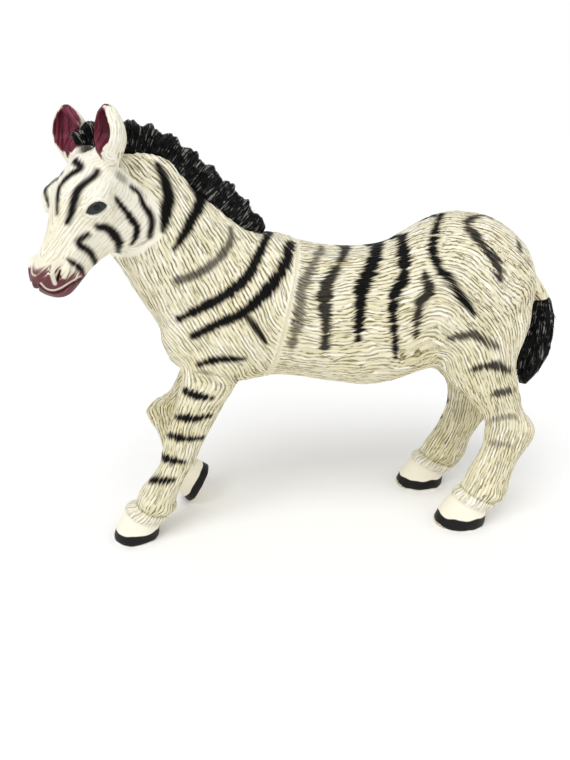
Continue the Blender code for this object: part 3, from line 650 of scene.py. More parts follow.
for line, radius, height in FOLDS:
    laid = lay(line)
    for side in (laid, body_mirror(laid)):
        lift += height * MM * near_line(points, side, radius)
from_girth = (points - GIRTH_POINT) @ GIRTH_NORMAL
seam = np.where(points[:, 2] > TRUNK_FOOT, np.abs(from_girth) / MM, 9)
lift += FLASH_HEIGHT * MM * falloff(seam, FLASH_RADIUS)
points += normals * lift[:, None]
write_points(skin.data, points)
skin_tree = tree_of(skin.data)
print("hoof points:", int((coronet < 0).sum()))

# %% [markdown]
# ## Which way the hair lies
# The sculptor cut the coat with a fine tool, from the face backwards and down the legs. Guide lines in the
# pixels of the photograph give the lie of the hair.

# %% Draw the guides
HAIR_GUIDES = [
    [(300, 255), (340, 254), (380, 252), (410, 245)],
    [(295, 290), (350, 292), (410, 290), (440, 285)],
    [(292, 320), (350, 324), (410, 322), (440, 316)],
    [(290, 350), (340, 352), (390, 350), (435, 345)],
    [(290, 372), (350, 378), (400, 374), (434, 362)],
    [(440, 222), (490, 232), (515, 255)],
    [(440, 243), (470, 248), (500, 265), (518, 285)],
    [(440, 266), (468, 275), (492, 296), (510, 320)],
    [(440, 290), (465, 300), (485, 325), (500, 350)],
    [(440, 330), (460, 345), (480, 370), (500, 395)],
    [(510, 235), (522, 262), (528, 290), (520, 320), (512, 355)],
    [(252, 232), (266, 252), (282, 278)],
    [(278, 252), (286, 275), (291, 300)],
    [(205, 225), (225, 255), (245, 290), (262, 325)],
    [(180, 240), (198, 275), (215, 310), (232, 345)],
    [(165, 290), (180, 325), (200, 360)],
    [(245, 355), (258, 372), (270, 379)],
    [(215, 368), (240, 380), (262, 388)],
    [(128, 164), (152, 177), (176, 196), (200, 222)],
    [(140, 190), (160, 206), (182, 232)],
    [(158, 150), (188, 168), (216, 192), (244, 222)],
    [(205, 205), (226, 226), (246, 250)],
    [(168, 220), (186, 246), (204, 276)],
    [(150, 215), (160, 245), (172, 275)],
    [(140, 256), (148, 285), (160, 315)],
    [(164, 332), (178, 358)],
    [(212, 388), (198, 415), (182, 450), (164, 480), (148, 506)],
    [(226, 394), (210, 420), (195, 448), (182, 478), (171, 504)],
    [(193, 385), (183, 415), (170, 450), (155, 478)],
    [(172, 384), (156, 400), (163, 425), (170, 440)],
    [(201, 452), (195, 468)],
    [(452, 380), (474, 396), (496, 412), (500, 425)],
    [(500, 350), (507, 390), (515, 412)],
    [(492, 425), (487, 455), (472, 480), (456, 506)],
    [(522, 428), (510, 450), (497, 478), (482, 506)],
    [(454, 400), (450, 430), (436, 450), (414, 474)],
    [(470, 410), (464, 435), (454, 460), (444, 474)],
    [(108, 166), (92, 194), (76, 226), (62, 254), (48, 275)],
    [(84, 164), (70, 192), (60, 222), (50, 252)],
    [(60, 178), (52, 215), (44, 248)],
    [(128, 172), (120, 190), (108, 214), (92, 236), (76, 258)],
    [(150, 205), (130, 220), (108, 236), (86, 258)],
    [(150, 236), (128, 240), (106, 250), (88, 268)],
    [(113, 152), (120, 132), (114, 112)],
    [(97, 155), (100, 130), (102, 110)],
    [(62, 158), (58, 135), (62, 112)],
    [(76, 148), (78, 128), (72, 114)],
]
print("guides drawn:", len(HAIR_GUIDES))

# %% [markdown]
# ## Comb the coat
# Every point takes the mean of the guides near it, and the guides are mirrored for the right side. There
# are three coats that don't run into each other, as on the toy: the head's, which ends at the cheek edge,
# the front half's and the rear half's, which end at the girth. Edges of the skin that join two coats are
# left out, so that smoothing stays inside a coat.

# %% Comb the coat
# The edge of the head's coat, in millimetres along the head and above its axis
FACE_MIDDLE = (13, 0, 0)
FACE_REACH = 24
CHEEK_START = (1, -3)
CHEEK_CURVE = 0.09
CHIN_LINE = -11.8
COMB_PASSES = 24


def comb(points, normals, starts, ways, near=10):
    """The mean of the nearest guides at every point, turned into the surface."""
    tree = KDTree(len(starts))
    for number, start in enumerate(starts):
        tree.insert(start, number)
    tree.balance()
    flow = np.empty_like(points)
    for number, point in enumerate(points):
        total = np.zeros(3)
        for _, guide, distance in tree.find_n(point, near):
            total += ways[guide] / (distance * distance + MM * MM) ** 1.5
        flow[number] = total
    return along_surface(flow, normals)


starts = []
ways = []
for guide in HAIR_GUIDES:
    laid = lay(guide, 5)
    steps = np.gradient(laid, axis=0)
    steps /= np.maximum(np.linalg.norm(steps, axis=1, keepdims=True), 1e-12)
    starts.append(laid)
    ways.append(steps)
    if in_head(laid).mean() > 0.5:
        starts.append(head_mirror_line(laid))
        ways.append(steps - 2 * (steps @ HEAD_LEFT)[:, None] * HEAD_LEFT)
    else:
        starts.append(body_mirror(laid))
        ways.append(steps * np.array((1, -1, 1)))
starts = np.vstack(starts)
ways = np.vstack(ways)

points = read_points(skin.data)
normals = read_normals(skin.data)
flow = comb(points, normals, starts, ways)
place = head_space(points) / MM
from_face = np.linalg.norm(place - FACE_MIDDLE, axis=1)
below_cheek = np.maximum(CHEEK_START[1] - place[:, 1], 0)
before_cheek = place[:, 0] - CHEEK_START[0] - CHEEK_CURVE * below_cheek ** 2
inside_head = np.minimum(np.minimum(before_cheek, place[:, 1] - CHIN_LINE), FACE_REACH - from_face)
head_share = np.clip(inside_head / 2 + 0.5, 0, 1)
coat = np.where(inside_head > 0, 2, from_girth > 0)
all_edges = read_edges(skin.data)
apart = coat[all_edges[:, 0]] != coat[all_edges[:, 1]]
edges = all_edges[~apart]
border = np.zeros(len(points))
border[all_edges[apart].ravel()] = 1
for _ in range(2):
    border = np.maximum(border, neighbour_mean(border, all_edges))
for _ in range(COMB_PASSES):
    flow = along_surface(neighbour_mean(flow, edges), normals)
print("guides:", len(starts), "combed points:", len(flow), "in coats:", np.bincount(coat.astype(int)))

# %% [markdown]
# ## A measure across the hair
# Grooves run along the hair, so they need a number that stays the same along each strand and grows from
# strand to strand. It is found for all points at once: along every edge of the skin it should change by the
# length of that edge across the hair. There are more edges than points, so the best compromise is taken,
# with more weight on edges that follow the hair. Conjugate gradients solve that in a few hundred passes.
# Where hair fans out, the compromise grows too slowly or too fast. So it is solved three times, and each
# time the wanted growth is scaled by what the last answer fell short of, which keeps the spacing even.

# %% Measure across the hair
FACE_HAIR_SCALE = 1.35
ALONG_WEIGHT = 10
WANDER = 0.07
PASSES = (450, 350, 350)
SPACING_AIM = 0.95


def across_hair(points, normals, edges, flow, aside, scale, found, passes):
    """A length that grows across the hair and stays the same along a strand."""
    flank = np.tanh(row_dot(normals, aside) * 6)
    slope = np.cross(normals, flow) * (flank * scale)[:, None]
    first, second = edges[:, 0], edges[:, 1]
    gap = points[second] - points[first]
    wanted = row_dot(gap, slope[first] + slope[second]) / 2
    size = np.linalg.norm(gap, axis=1)
    follows = row_dot(gap, flow[first] + flow[second]) / (2 * size)
    weight = 1 + ALONG_WEIGHT * follows ** 2
    count = len(points)

    def gather(change):
        change = change * weight
        return np.bincount(second, change, count) - np.bincount(first, change, count)

    rest = gather(wanted - (found[second] - found[first]))
    way = rest.copy()
    power = rest @ rest
    start_power = power
    for _ in range(passes):
        pushed = gather(way[second] - way[first])
        step = power / (way @ pushed)
        found = found + step * way
        rest = rest - step * pushed
        new_power = rest @ rest
        way = rest + way * (new_power / power)
        power = new_power
    print("rest of the equations:", round(math.sqrt(power / start_power), 4))
    steep = ((found[second] - found[first]) / size) ** 2
    total = np.bincount(first, steep, count) + np.bincount(second, steep, count)
    number = np.bincount(first, minlength=count) + np.bincount(second, minlength=count)
    return found, 2 * total / np.maximum(number, 1)


def soft_noise(points, size, seed, waves=14):
    """A smooth random field between about -1 and 1, made of a few turned sine waves."""
    chance = np.random.default_rng(seed)
    total = np.zeros(len(points))
    for _ in range(waves):
        way = chance.normal(size=3)
        way *= 2 * math.pi / size * chance.uniform(0.6, 1.5) / np.linalg.norm(way)
        total += np.sin(points @ way + chance.uniform(0, 2 * math.pi))
    return total * math.sqrt(2 / waves) / 1.6


body_left = np.array((0.0, -1.0, 0.0))
aside = body_left * (1 - head_share)[:, None] + HEAD_LEFT * head_share[:, None]
aside /= np.linalg.norm(aside, axis=1, keepdims=True)
wander = WANDER * (soft_noise(points, 9 * MM, 11) + soft_noise(points, 4 * MM, 12))
side = np.cross(normals, flow)
wavy = flow * np.cos(wander)[:, None] + side * np.sin(wander)[:, None]
scale = 1 + (FACE_HAIR_SCALE - 1) * head_share
across = -0.8 * points[:, 2]
for passes in PASSES:
    across, steepness = across_hair(points, normals, edges, wavy, aside, scale, across, passes)
    for _ in range(30):
        steepness = neighbour_mean(steepness, edges)
    missing = SPACING_AIM / np.sqrt(np.maximum(steepness, 0.04))
    scale = np.clip(scale * np.clip(missing, 0.7, 2.2), 0.6, 4)

print("across the hair:", round(float(np.ptp(across)) / MM, 1), "mm")

# %% [markdown]
# ## Where the coat is bald
# Round the eyes, on the muzzle and the hooves, in the ears and along the edges of the coats the mould is
# smooth. The head's hair is much shallower than the body's.

# %% Bald places
# Bald places: how far round the eye, where the muzzle starts and over how much, and where the ears start
EYE_BALD = 1.5
MUZZLE_BALD = (27, 3.5)
EAR_BALD = 104 * MM

bald = np.maximum.reduce([
    falloff(np.maximum(-eye_depth, 0), EYE_BALD),
    np.clip(border * 2, 0, 1),
    np.clip((place[:, 0] - MUZZLE_BALD[0]) / MUZZLE_BALD[1], 0, 1) * 0.8 * (head_share > 0),
    0.6 * (points[:, 2] > EAR_BALD) * (place[:, 0] < 6),
    np.clip(0.5 - coronet, 0, 1),
])
hair_amount = (1 - bald) * (1 - 0.68 * head_share)
print("mean amount of hair:", round(float(hair_amount.mean()), 2))

# %% [markdown]
# ## Small tools for nodes
# The same few nodes make geometry and paint. One function adds a node with its settings and links, two
# begin and end a tree of Geometry Nodes, and one runs a tree and keeps the mesh that comes out.

# %% Tools for nodes
MATH = "ShaderNodeMath"
RANGE = "ShaderNodeMapRange"
NOISE = "ShaderNodeTexNoise"
ATTRIBUTE = "GeometryNodeInputNamedAttribute"
SCALED = "ShaderNodeVectorMath"
SMOOTH = {"interpolation_type": "SMOOTHSTEP"}


def add_node(tree, kind, inputs=None, **settings):
    """Adds a node and sets it up; an input takes a value, a socket or a node's first output."""
    made = tree.nodes.new(kind)
    for key, value in settings.items():
        setattr(made, key, value)
    for key, value in (inputs or {}).items():
        if isinstance(value, bpy.types.NodeSocket):
            tree.links.new(value, made.inputs[key])
        elif isinstance(value, bpy.types.Node):
            output = next(socket for socket in value.outputs if socket.enabled)
            tree.links.new(output, made.inputs[key])
        else:
            made.inputs[key].default_value = value
    return made


def new_tree(name, sizes):
    """An empty Geometry Nodes tree with a mesh in, a mesh out and named number inputs."""
    tree = bpy.data.node_groups.new(name, "GeometryNodeTree")
    tree.interface.new_socket("Geometry", in_out="INPUT", socket_type="NodeSocketGeometry")
    tree.interface.new_socket("Geometry", in_out="OUTPUT", socket_type="NodeSocketGeometry")
    for label, value in sizes.items():
        kind = "NodeSocketInt" if isinstance(value, int) else "NodeSocketFloat"
        socket = tree.interface.new_socket(label, in_out="INPUT", socket_type=kind)
        socket.default_value = value
    tree.interface.new_socket("Material", in_out="INPUT", socket_type="NodeSocketMaterial")
    source = tree.nodes.new("NodeGroupInput")
    return tree, source.outputs


def finish_tree(tree, source, geometry):
    """Ends a tree with real geometry that carries the material."""
    real = add_node(tree, "GeometryNodeRealizeInstances", {"Geometry": geometry})
    painted = add_node(tree, "GeometryNodeSetMaterial", {
        "Geometry": real.outputs["Geometry"], "Material": source["Material"],
    })
    sink = tree.nodes.new("NodeGroupOutput")
    tree.links.new(painted.outputs["Geometry"], sink.inputs["Geometry"])


def bake_tree(obj, tree, sizes, material):
    """Runs a tree on an object and keeps the result as a plain mesh."""
    modifier = obj.modifiers.new(tree.name, "NODES")
    modifier.node_group = tree
    for item in tree.interface.items_tree:
        if item.in_out == "INPUT" and item.name in sizes:
            modifier[item.identifier] = sizes[item.name]
        if item.in_out == "INPUT" and item.name == "Material":
            modifier[item.identifier] = material
    baked = evaluated_mesh(obj)
    obj.modifiers.clear()
    obj.data = baked
    return baked


def store(mesh, name, values, kind="FLOAT"):
    """Keeps one value for every point of a mesh under a name."""
    attribute = mesh.attributes.new(name, kind, "POINT")
    field = "value" if kind == "FLOAT" else "vector"
    attribute.data.foreach_set(field, np.asarray(values, np.float32).ravel())


print("most used nodes:", MATH, RANGE, NOISE)

# %% [markdown]
# ## Cut the grooves with Geometry Nodes
# The cosine of the measure across the hair makes even lines, one to each spacing, and a slow noise bends
# them. A second noise breaks them up. It has four inputs: three are the place on the toy, and the fourth is
# the measure again, so it comes out in strokes that follow the coat, and a line is cut only where a stroke
# lies. Two layers of such lines make the coat. The nodes move every point inwards there, and the paint
# uses the same nodes later, so the wash lies in the grooves.

# %% Cut the grooves
WOBBLE_SIZE = 3.2 * MM
WOBBLE = 0.9
# For each layer of grooves: their spacing, how many spacings they wobble, the length of a stroke and the
# noise value above which a groove is cut
GROOVE_LAYERS = [
    (0.92 * MM, 0.9, 3.0 * MM, 0.51),
    (0.70 * MM, 1.0, 2.4 * MM, 0.54),
]


def stroke_noise(tree, across, place, length, width, number):
    """Noise drawn out along the hair into strokes."""
    scaled = add_node(tree, SCALED, {0: place, "Scale": 1 / length}, operation="SCALE")
    bend = add_node(tree, NOISE, {
        "Vector": place, "W": number + 0.5, "Scale": 1 / WOBBLE_SIZE, "Detail": 1.0,
    }, noise_dimensions="4D")
    turns = add_node(tree, MATH, {0: across, 1: 1 / width, 2: number * 7.0}, operation="MULTIPLY_ADD")
    turns = add_node(tree, MATH, {0: bend, 1: WOBBLE, 2: turns}, operation="MULTIPLY_ADD")
    return add_node(tree, NOISE, {
        "Vector": scaled, "W": turns, "Scale": 1.0, "Detail": 1.0, "Roughness": 0.4,
    }, noise_dimensions="4D")


def groove_lines(tree, across, place):
    """The hair grooves from 0 to 1, and the wave of the first layer, for geometry and paint."""
    layers = []
    for number, (spacing, wobble, length, start) in enumerate(GROOVE_LAYERS, 1):
        bend = add_node(tree, NOISE, {
            "Vector": place, "W": number + 0.5, "Scale": 1 / WOBBLE_SIZE, "Detail": 1.0,
        }, noise_dimensions="4D")
        shift = add_node(tree, MATH, {0: bend, 1: 2 * math.pi * wobble}, operation="MULTIPLY")
        angle = add_node(tree, MATH, {
            0: across, 1: 2 * math.pi / spacing, 2: shift,
        }, operation="MULTIPLY_ADD")
        wave = add_node(tree, MATH, {0: angle}, operation="COSINE")
        line = add_node(tree, RANGE, {"Value": wave, "From Min": 0.5, "From Max": 0.95}, **SMOOTH)
        strokes = stroke_noise(tree, across, place, length, spacing, float(number))
        gate = add_node(tree, RANGE, {
            "Value": strokes, "From Min": start - 0.06, "From Max": start + 0.06,
        }, **SMOOTH)
        cut = add_node(tree, MATH, {0: line, 1: gate}, operation="MULTIPLY")
        layers.append((cut, wave))
    lines = add_node(tree, MATH, {0: layers[0][0], 1: layers[1][0]}, operation="MAXIMUM")
    return lines, layers[0][1]


def groove_tree():
    """Moves every point inwards in the grooves and a little where broad locks of hair part."""
    tree, source = new_tree("cut_hair_grooves", {"Groove Depth": 0.09 * MM, "Swell": 0.9 * MM})
    across = add_node(tree, ATTRIBUTE, {"Name": "across"}, data_type="FLOAT")
    amount = add_node(tree, ATTRIBUTE, {"Name": "hair_amount"}, data_type="FLOAT")
    place = add_node(tree, "GeometryNodeInputPosition")
    lines, _ = groove_lines(tree, across, place)
    strokes = stroke_noise(tree, across, place, 8 * MM, 1.2 * MM, 9.0)
    deep = add_node(tree, MATH, {0: lines, 1: source["Groove Depth"]}, operation="MULTIPLY")
    low = add_node(tree, MATH, {0: 0.5, 1: strokes}, operation="SUBTRACT")
    swell = add_node(tree, MATH, {0: low, 1: source["Swell"], 2: deep}, operation="MULTIPLY_ADD")
    total = add_node(tree, MATH, {0: swell, 1: amount}, operation="MULTIPLY")
    total = add_node(tree, MATH, {0: total, 1: -1.0}, operation="MULTIPLY")
    normal = add_node(tree, "GeometryNodeInputNormal")
    offset = add_node(tree, SCALED, {0: normal, "Scale": total}, operation="SCALE")
    moved = add_node(tree, "GeometryNodeSetPosition", {"Geometry": source["Geometry"], "Offset": offset})
    finish_tree(tree, source, moved)
    return tree


painted_pvc = bpy.data.materials.new("painted_pvc")
behind_neck = np.clip((points[:, 0] + 18 * MM) / (14 * MM), 0, 1)
on_leg = np.clip((50 * MM - points[:, 2]) / (5 * MM), 0, 1)
ragged = (1 - 0.35 * head_share) * (0.42 + 0.58 * np.maximum(behind_neck, 0.7 * on_leg))
for name, values in (
    ("across", across), ("hair_amount", hair_amount), ("ragged", ragged), ("seam", seam),
    ("eye", eye_depth), ("pupil", pupil_depth), ("nostril", nostril_depth),
    ("coronet", coronet), ("hoof_height", hoof_height),
):
    store(skin.data, name, values)
bake_tree(skin, groove_tree(), {}, painted_pvc)
points = read_points(skin.data)
normals = read_normals(skin.data)
print("grooves cut in", len(points), "points")

# %% [markdown]
# ## Stripes as distances
# The black stripes are airbrushed, so each has a soft, ragged edge. A stripe is a drawn line with half its
# width in millimetres and the strength of its paint. Every point keeps how far inside a stripe it lies,
# and the material decides later where the paint ends, so the edge stays sharp at any mesh size.

# %% Draw the stripes
# Pixel place, half width in millimetres; then the strength of the paint
BODY_STRIPES = [
    ([(157, 166, 0.59), (165, 181, 1.1), (168.5, 199, 1.27), (165, 218, 0.93), (163, 230, 0.42)], 1.0),
    ([(190, 182, 0.42), (196, 191, 0.85), (200, 202, 1.18), (191, 222, 1.02), (182, 238, 0.76),
      (174, 249, 0.34)], 1.0),
    ([(231, 228, 0.34), (230, 243, 0.76), (216, 261, 0.76), (199, 273, 0.85), (177, 281, 0.76)], 0.85),
    ([(270, 230, 0.85), (259, 254, 1.02), (247, 277, 1.18), (227, 294, 1.1), (206, 306, 1.02),
      (179, 319, 0.59)], 1.0),
    ([(291, 243, 1.02), (284, 267, 1.18), (266, 292, 1.18), (243, 313, 1.02), (220, 323, 0.93),
      (192, 337, 0.68)], 1.0),
    ([(245, 313, 0.51), (256, 328, 0.68), (266, 342, 0.34)], 1.0),
    ([(198, 365, 0.42), (217, 360, 0.76), (244, 359, 0.34)], 1.0),
    ([(322, 247, 0.68), (309, 272, 0.85), (301, 292, 0.93), (300, 312, 1.18), (292, 347, 0.76)], 0.78),
    ([(346, 245, 1.02), (342, 259, 0.93), (329, 280, 1.02), (324, 300, 1.35), (326, 321, 1.02),
      (324.5, 348, 0.76)], 0.96),
    ([(378, 243, 1.4), (371, 268, 1.6), (362, 288, 1.5), (360, 312, 1.15), (358, 340, 0.6)], 1.0),
    ([(402, 236, 1.1), (404, 258, 1.3), (403, 278, 1.2), (393, 298, 0.95), (394, 325, 0.85),
      (396, 358, 0.42)], 1.0),
    ([(424.5, 273, 0.51), (429, 291, 1.1), (419, 308, 1.02), (416, 336, 0.51)], 0.97),
    ([(441, 214, 0.85), (434, 236, 1.02), (434, 256, 1.1), (442, 272, 0.85), (455, 286, 0.85),
      (464, 300, 1.02), (475, 313, 0.51)], 1.0),
    ([(492, 215, 0.42), (474, 217, 0.59), (467, 223, 0.93), (476, 236, 1.02), (485, 248, 0.93),
      (496, 261, 0.93), (500, 279, 0.59)], 0.95),
    ([(519, 242, 0.59), (520, 250, 0.76)], 0.9),
    ([(450, 338, 0.34), (460, 336, 0.68), (473, 335, 0.85), (483, 338, 0.85), (494, 347, 0.34)], 0.9),
    ([(472, 370, 0.25), (482, 367, 0.7), (492, 366, 1), (502, 368, 0.8), (511, 372, 0.3)], 0.95),
    ([(492, 395, 0.25), (501, 392, 0.85), (513, 391, 0.4)], 0.9),
    ([(497, 419, 0.5), (508, 417, 0.6), (516, 417, 0.4)], 0.62),
    ([(489, 443, 0.5), (500, 444, 0.5), (511, 446, 0.42)], 0.55),
    ([(198, 371.5, 0.2), (205, 372, 0.35), (212, 373, 0.2)], 0.6),
    ([(184, 391, 0.51), (197, 396, 0.93), (212, 398, 0.42)], 1.0),
    ([(175, 417, 0.51), (194, 419, 0.93), (209, 416, 0.51)], 1.0),
    ([(167, 435, 0.59), (186, 439, 0.93), (202, 438, 0.51)], 1.0),
    ([(161, 457, 0.76), (174, 461, 0.85), (184, 462, 0.42)], 1.0),
    ([(151, 480, 0.68), (163, 481, 0.76), (173, 480, 0.42)], 1.0),
]
FACE_STRIPES = [
    ([(58.5, 172, 0.25), (50.5, 178, 0.37), (45.5, 187.5, 0.37), (45.5, 194, 0.25), (48, 206, 0.19)], 0.97),
    ([(75, 161, 0.67), (80, 168, 0.73), (70.5, 174.5, 0.61), (61.5, 183.5, 0.61), (57.8, 194, 0.55),
      (57, 213, 0.31)], 1.0),
    ([(97.5, 171, 0.49), (94.5, 176, 0.61), (83, 185, 0.61), (77, 192, 0.8), (74, 201, 0.8),
      (71, 212, 0.61), (67.5, 222, 0.42)], 1.0),
    ([(119, 176, 0.61), (124, 180, 0.55)], 0.6),
]
SIDE_FACE_STRIPES = [
    ([(116, 199, 0.44), (124, 209, 0.58), (131, 218.5, 0.71), (136.5, 227, 0.77), (136, 236, 0.71),
      (132, 244, 0.44)], 1.0),
    ([(131, 187, 0.26), (139, 194, 0.44), (144.5, 206, 0.58), (151, 216, 0.64), (151.5, 226, 0.58),
      (149.5, 236, 0.44)], 1.0),
    ([(97.5, 226.5, 0.51), (108, 229, 0.77), (115, 236, 0.95), (119, 243, 0.83), (118, 252, 0.44)], 1.0),
    ([(88, 234.5, 0.38), (79, 241, 0.51), (81, 246, 0.58), (88, 250.5, 0.64), (92.5, 256, 0.64),
      (96, 264, 0.44)], 1.0),
    ([(69, 261, 0.32), (76, 265, 0.51), (81.5, 270.5, 0.58), (85, 278.5, 0.32)], 1.0),
]
# Bars on the hidden right legs: height and half width in millimetres; then for the forelegs and the hind
# legs where a bar starts and ends, and the highest bar
RIGHT_LEG_BARS = [(46, 0.8), (40, 0.9), (34.5, 0.8), (28, 0.8), (22, 0.6)]
RIGHT_LEG_SPANS = ((-60, -16, 42), (20, 62, 48))
BAR_RISE = 1.2
RIGHT_SHIFT = 0.9 * MM
LOWEST_BODY_STRIPE = 46 * MM
STRIPE_REACH = 6
print("stripes drawn:", len(BODY_STRIPES) + len(FACE_STRIPES) + len(SIDE_FACE_STRIPES))

# %% [markdown]
# ## Lay the stripes on the skin
# The stripes of the trunk are used again on the right side, with a small shift that makes them wavy there.
# Where two stripes meet, each point keeps the one that it lies deeper in.

# %% Lay the stripes
stripe = np.full(len(points), -4.0)
ink = np.zeros(len(points))


def paint_stripe(laid, strength):
    """Keeps the deepest stripe at each point, and how strongly it is painted."""
    distance, nearest = measure_to(points, laid, STRIPE_REACH * MM)
    inside = laid[nearest, 3] - distance / MM
    inside = np.where(distance < STRIPE_REACH * MM, inside, -4)
    better = inside > stripe
    stripe[better] = inside[better]
    ink[better] = strength


for line, strength in BODY_STRIPES:
    laid = lay(line)
    paint_stripe(laid, strength)
    if laid[:, 2].mean() > LOWEST_BODY_STRIPE:
        shifted = laid[:, [0, 2, 3]]
        shifted[:, 0] += RIGHT_SHIFT * np.sin(shifted[:, 1] / (7 * MM))
        paint_stripe(lay_from_right(shifted), strength)
for line, strength in FACE_STRIPES:
    paint_stripe(lay(line), strength)
for line, strength in SIDE_FACE_STRIPES:
    laid = lay(line)
    paint_stripe(laid, strength)
    paint_stripe(head_mirror_line(laid), strength)
for height, half_width in RIGHT_LEG_BARS:
    for start, end, highest in RIGHT_LEG_SPANS:
        if height > highest:
            continue
        middle = ((start + end) / 2, height + BAR_RISE, half_width)
        bar = smooth_line([(start, height, half_width), middle, (end, height, half_width)], 0.3)
        laid = lay_from_right(bar * (MM, MM, 1))
        laid = laid[laid[:, 1] > MIDDLE_Y + 2 * MM]
        if len(laid):
            paint_stripe(laid, 0.97)
store(skin.data, "stripe", stripe)
store(skin.data, "ink", ink)
print("striped points:", int((stripe > 0).sum()), "of", len(points))

# %% [markdown]
# ## Burgundy ears and muzzle
# The hollows of the ears and the muzzle are brushed with burgundy. In the ears the paint fills the bowl:
# inside the ear's outline, and only where the surface looks forwards. On the muzzle it ends at a slanting
# plane across the head, which is fitted to a line drawn over the nose and round below the nostrils.

# %% Mark the burgundy
HEAD_LENGTH = 33.4 * MM
HEAD_DEPTH = 21.6 * MM
# How far the ears are laid back, how far apart their roots are, and how far they lean outwards
EAR_RAKE = math.radians(44)
EAR_SPREAD = 13 * MM
EAR_LEAN = math.radians(4)
EAR_LENGTH = 9.8 * MM
EAR_WIDTH = 10.6 * MM
EAR_THICKNESS = 7 * MM
# Along the ear, width and thickness, as shares
EAR_SECTIONS = [
    (-0.35, 0.36, 0.50), (0.0, 0.74, 0.86), (0.2, 0.96, 0.98), (0.42, 1.0, 0.94), (0.66, 0.86, 0.74),
    (0.86, 0.60, 0.50), (1.0, 0.22, 0.22),
]
EAR_ROOT = (-0.032 * HEAD_LENGTH, 0.351 * HEAD_DEPTH)
# Which way the bowl of each ear looks, turned from straight ahead
EAR_FACINGS = {1: math.radians(-17), -1: math.radians(1)}
# How far down the ear its paint and its shape reach, and how far from its middle line, in mm
EAR_BELOW = 3.6
EAR_AROUND = 7.5
MUZZLE_EDGE = [(33, 266), (42, 268), (50, 270), (70, 270), (77, 274), (83, 277)]

ear_paint = np.full(len(points), -9.0)
for ear_side, facing in EAR_FACINGS.items():
    outwards = HEAD_LEFT * ear_side
    stem = HEAD_CROWN * math.sin(EAR_RAKE) - HEAD_ALONG * math.cos(EAR_RAKE)
    stem = stem * math.cos(EAR_LEAN) + outwards * math.sin(EAR_LEAN)
    root = HEAD_ORIGIN + HEAD_ALONG * EAR_ROOT[0] + HEAD_CROWN * EAR_ROOT[1] + outwards * EAR_SPREAD / 2
    from_root = points - root
    front = HEAD_ALONG - stem * (HEAD_ALONG @ stem)
    front /= np.linalg.norm(front)
    across = outwards - stem * (outwards @ stem)
    across /= np.linalg.norm(across)
    facing_way = front * math.cos(facing) + across * math.sin(facing)
    up_ear = from_root @ stem / MM
    share_up = up_ear * MM / EAR_LENGTH
    beside = np.linalg.norm(from_root - np.outer(up_ear * MM, stem), axis=1) / MM
    here = (up_ear > -EAR_BELOW) & (beside < EAR_AROUND)
    broad = across * math.cos(facing) - front * math.sin(facing)
    share, wide, thick = np.array(EAR_SECTIONS).T
    half_width = np.interp(share_up, share, wide) * EAR_WIDTH / 2
    half_thick = np.interp(share_up, share, thick) * EAR_THICKNESS / 2
    forwards = from_root @ facing_way
    inner = np.minimum.reduce([
        (1.02 - np.hypot(from_root @ broad / half_width, forwards / half_thick)) * 6,
        (normals @ facing_way - 0.02) * 3,
        (forwards / MM + 1.2 + 0.4 * np.maximum(up_ear, 0)) * 2,
        (up_ear + EAR_BELOW) * 0.5,
    ])
    inner = np.where(here, inner, -9)
    ear_paint = np.maximum(ear_paint, inner)

edge_line = head_space(lay(MUZZLE_EDGE)[:, :3]) / MM
table = np.stack([np.ones(len(edge_line)), edge_line[:, 1], np.abs(edge_line[:, 2])], axis=1)
slope, *_ = np.linalg.lstsq(table, edge_line[:, 0], rcond=None)
mouth = np.zeros(len(points))
lip = np.zeros(len(points))
for line, radius, target in ((MOUTH, 0.22, mouth), (LIP_RIDGE, 0.2, lip), (NOSTRIL_RIM, 0.58, lip)):
    laid = lay(line, 0.5)
    for side in (laid, head_mirror_line(laid)):
        np.maximum(target, near_line(points, side, radius * 2), out=target)
place = head_space(points) / MM
muzzle = place[:, 0] - (slope[0] + slope[1] * place[:, 1] + slope[2] * np.abs(place[:, 2]))
burgundy = np.where(in_head(points), np.maximum(muzzle, -9), -9)
for name, values in (
    ("mouth", mouth), ("lip", lip), ("burgundy", burgundy), ("ear_paint", ear_paint),
):
    store(skin.data, name, values)
print("muzzle edge:", slope.round(2), "burgundy points:", int((burgundy > 0).sum()))

# %% [markdown]
# ## Wash and painted shade in the hollows
# The hollows are darkened, partly with the thin brown wash that the toy was wiped with and that stays in
# them, and partly with painted shade. A point is in a hollow when the mean of its neighbours stands above
# it. The same measure on a smoother copy finds the wider folds.

# %% Measure the hollows
FINE_SPREAD = 3
WIDE_SPREAD = 10


def spread(values, edges, passes):
    """Values averaged over the neighbours again and again."""
    for _ in range(passes):
        values = neighbour_mean(values, edges)
    return values


edges = read_edges(skin.data)
fine_hollow = row_dot(spread(points, edges, FINE_SPREAD) - points, normals) / MM
wide_hollow = row_dot(spread(points, edges, WIDE_SPREAD) - points, normals) / MM
wide_hollow = spread(wide_hollow, edges, 2)
store(skin.data, "fine_hollow", fine_hollow)
store(skin.data, "wide_hollow", wide_hollow)
print("hollows up to", round(float(fine_hollow.max()), 2), "and", round(float(wide_hollow.max()), 2), "mm")

# %% [markdown]
# ## Part the skin where the mouldings meet
# The skin was made in one piece so that hair and stripes run on across the joints. Now it is cut along the
# girth plane and at the tops of the forelegs, each cut is closed, and every moulding is its own piece.

# %% Split the skin into its four mouldings
LEG_JOINT_FRONT = np.array((-39.865, 3.348, 50.0)) * MM
LEG_JOINT_BACK = np.array((-20.865, 3.348, 45.8)) * MM
LEG_INNER = 2.2 * MM
LEG_BACK = np.array((-20.4, 0, 0)) * MM
JOINT_GAP = 0.03 * MM
# How near a cutting plane a point counts as lying on it
CUT_REACH = 0.0005 * MM
# The planes of the forelegs cut only what lies below this height
LEG_TOP = 56 * MM


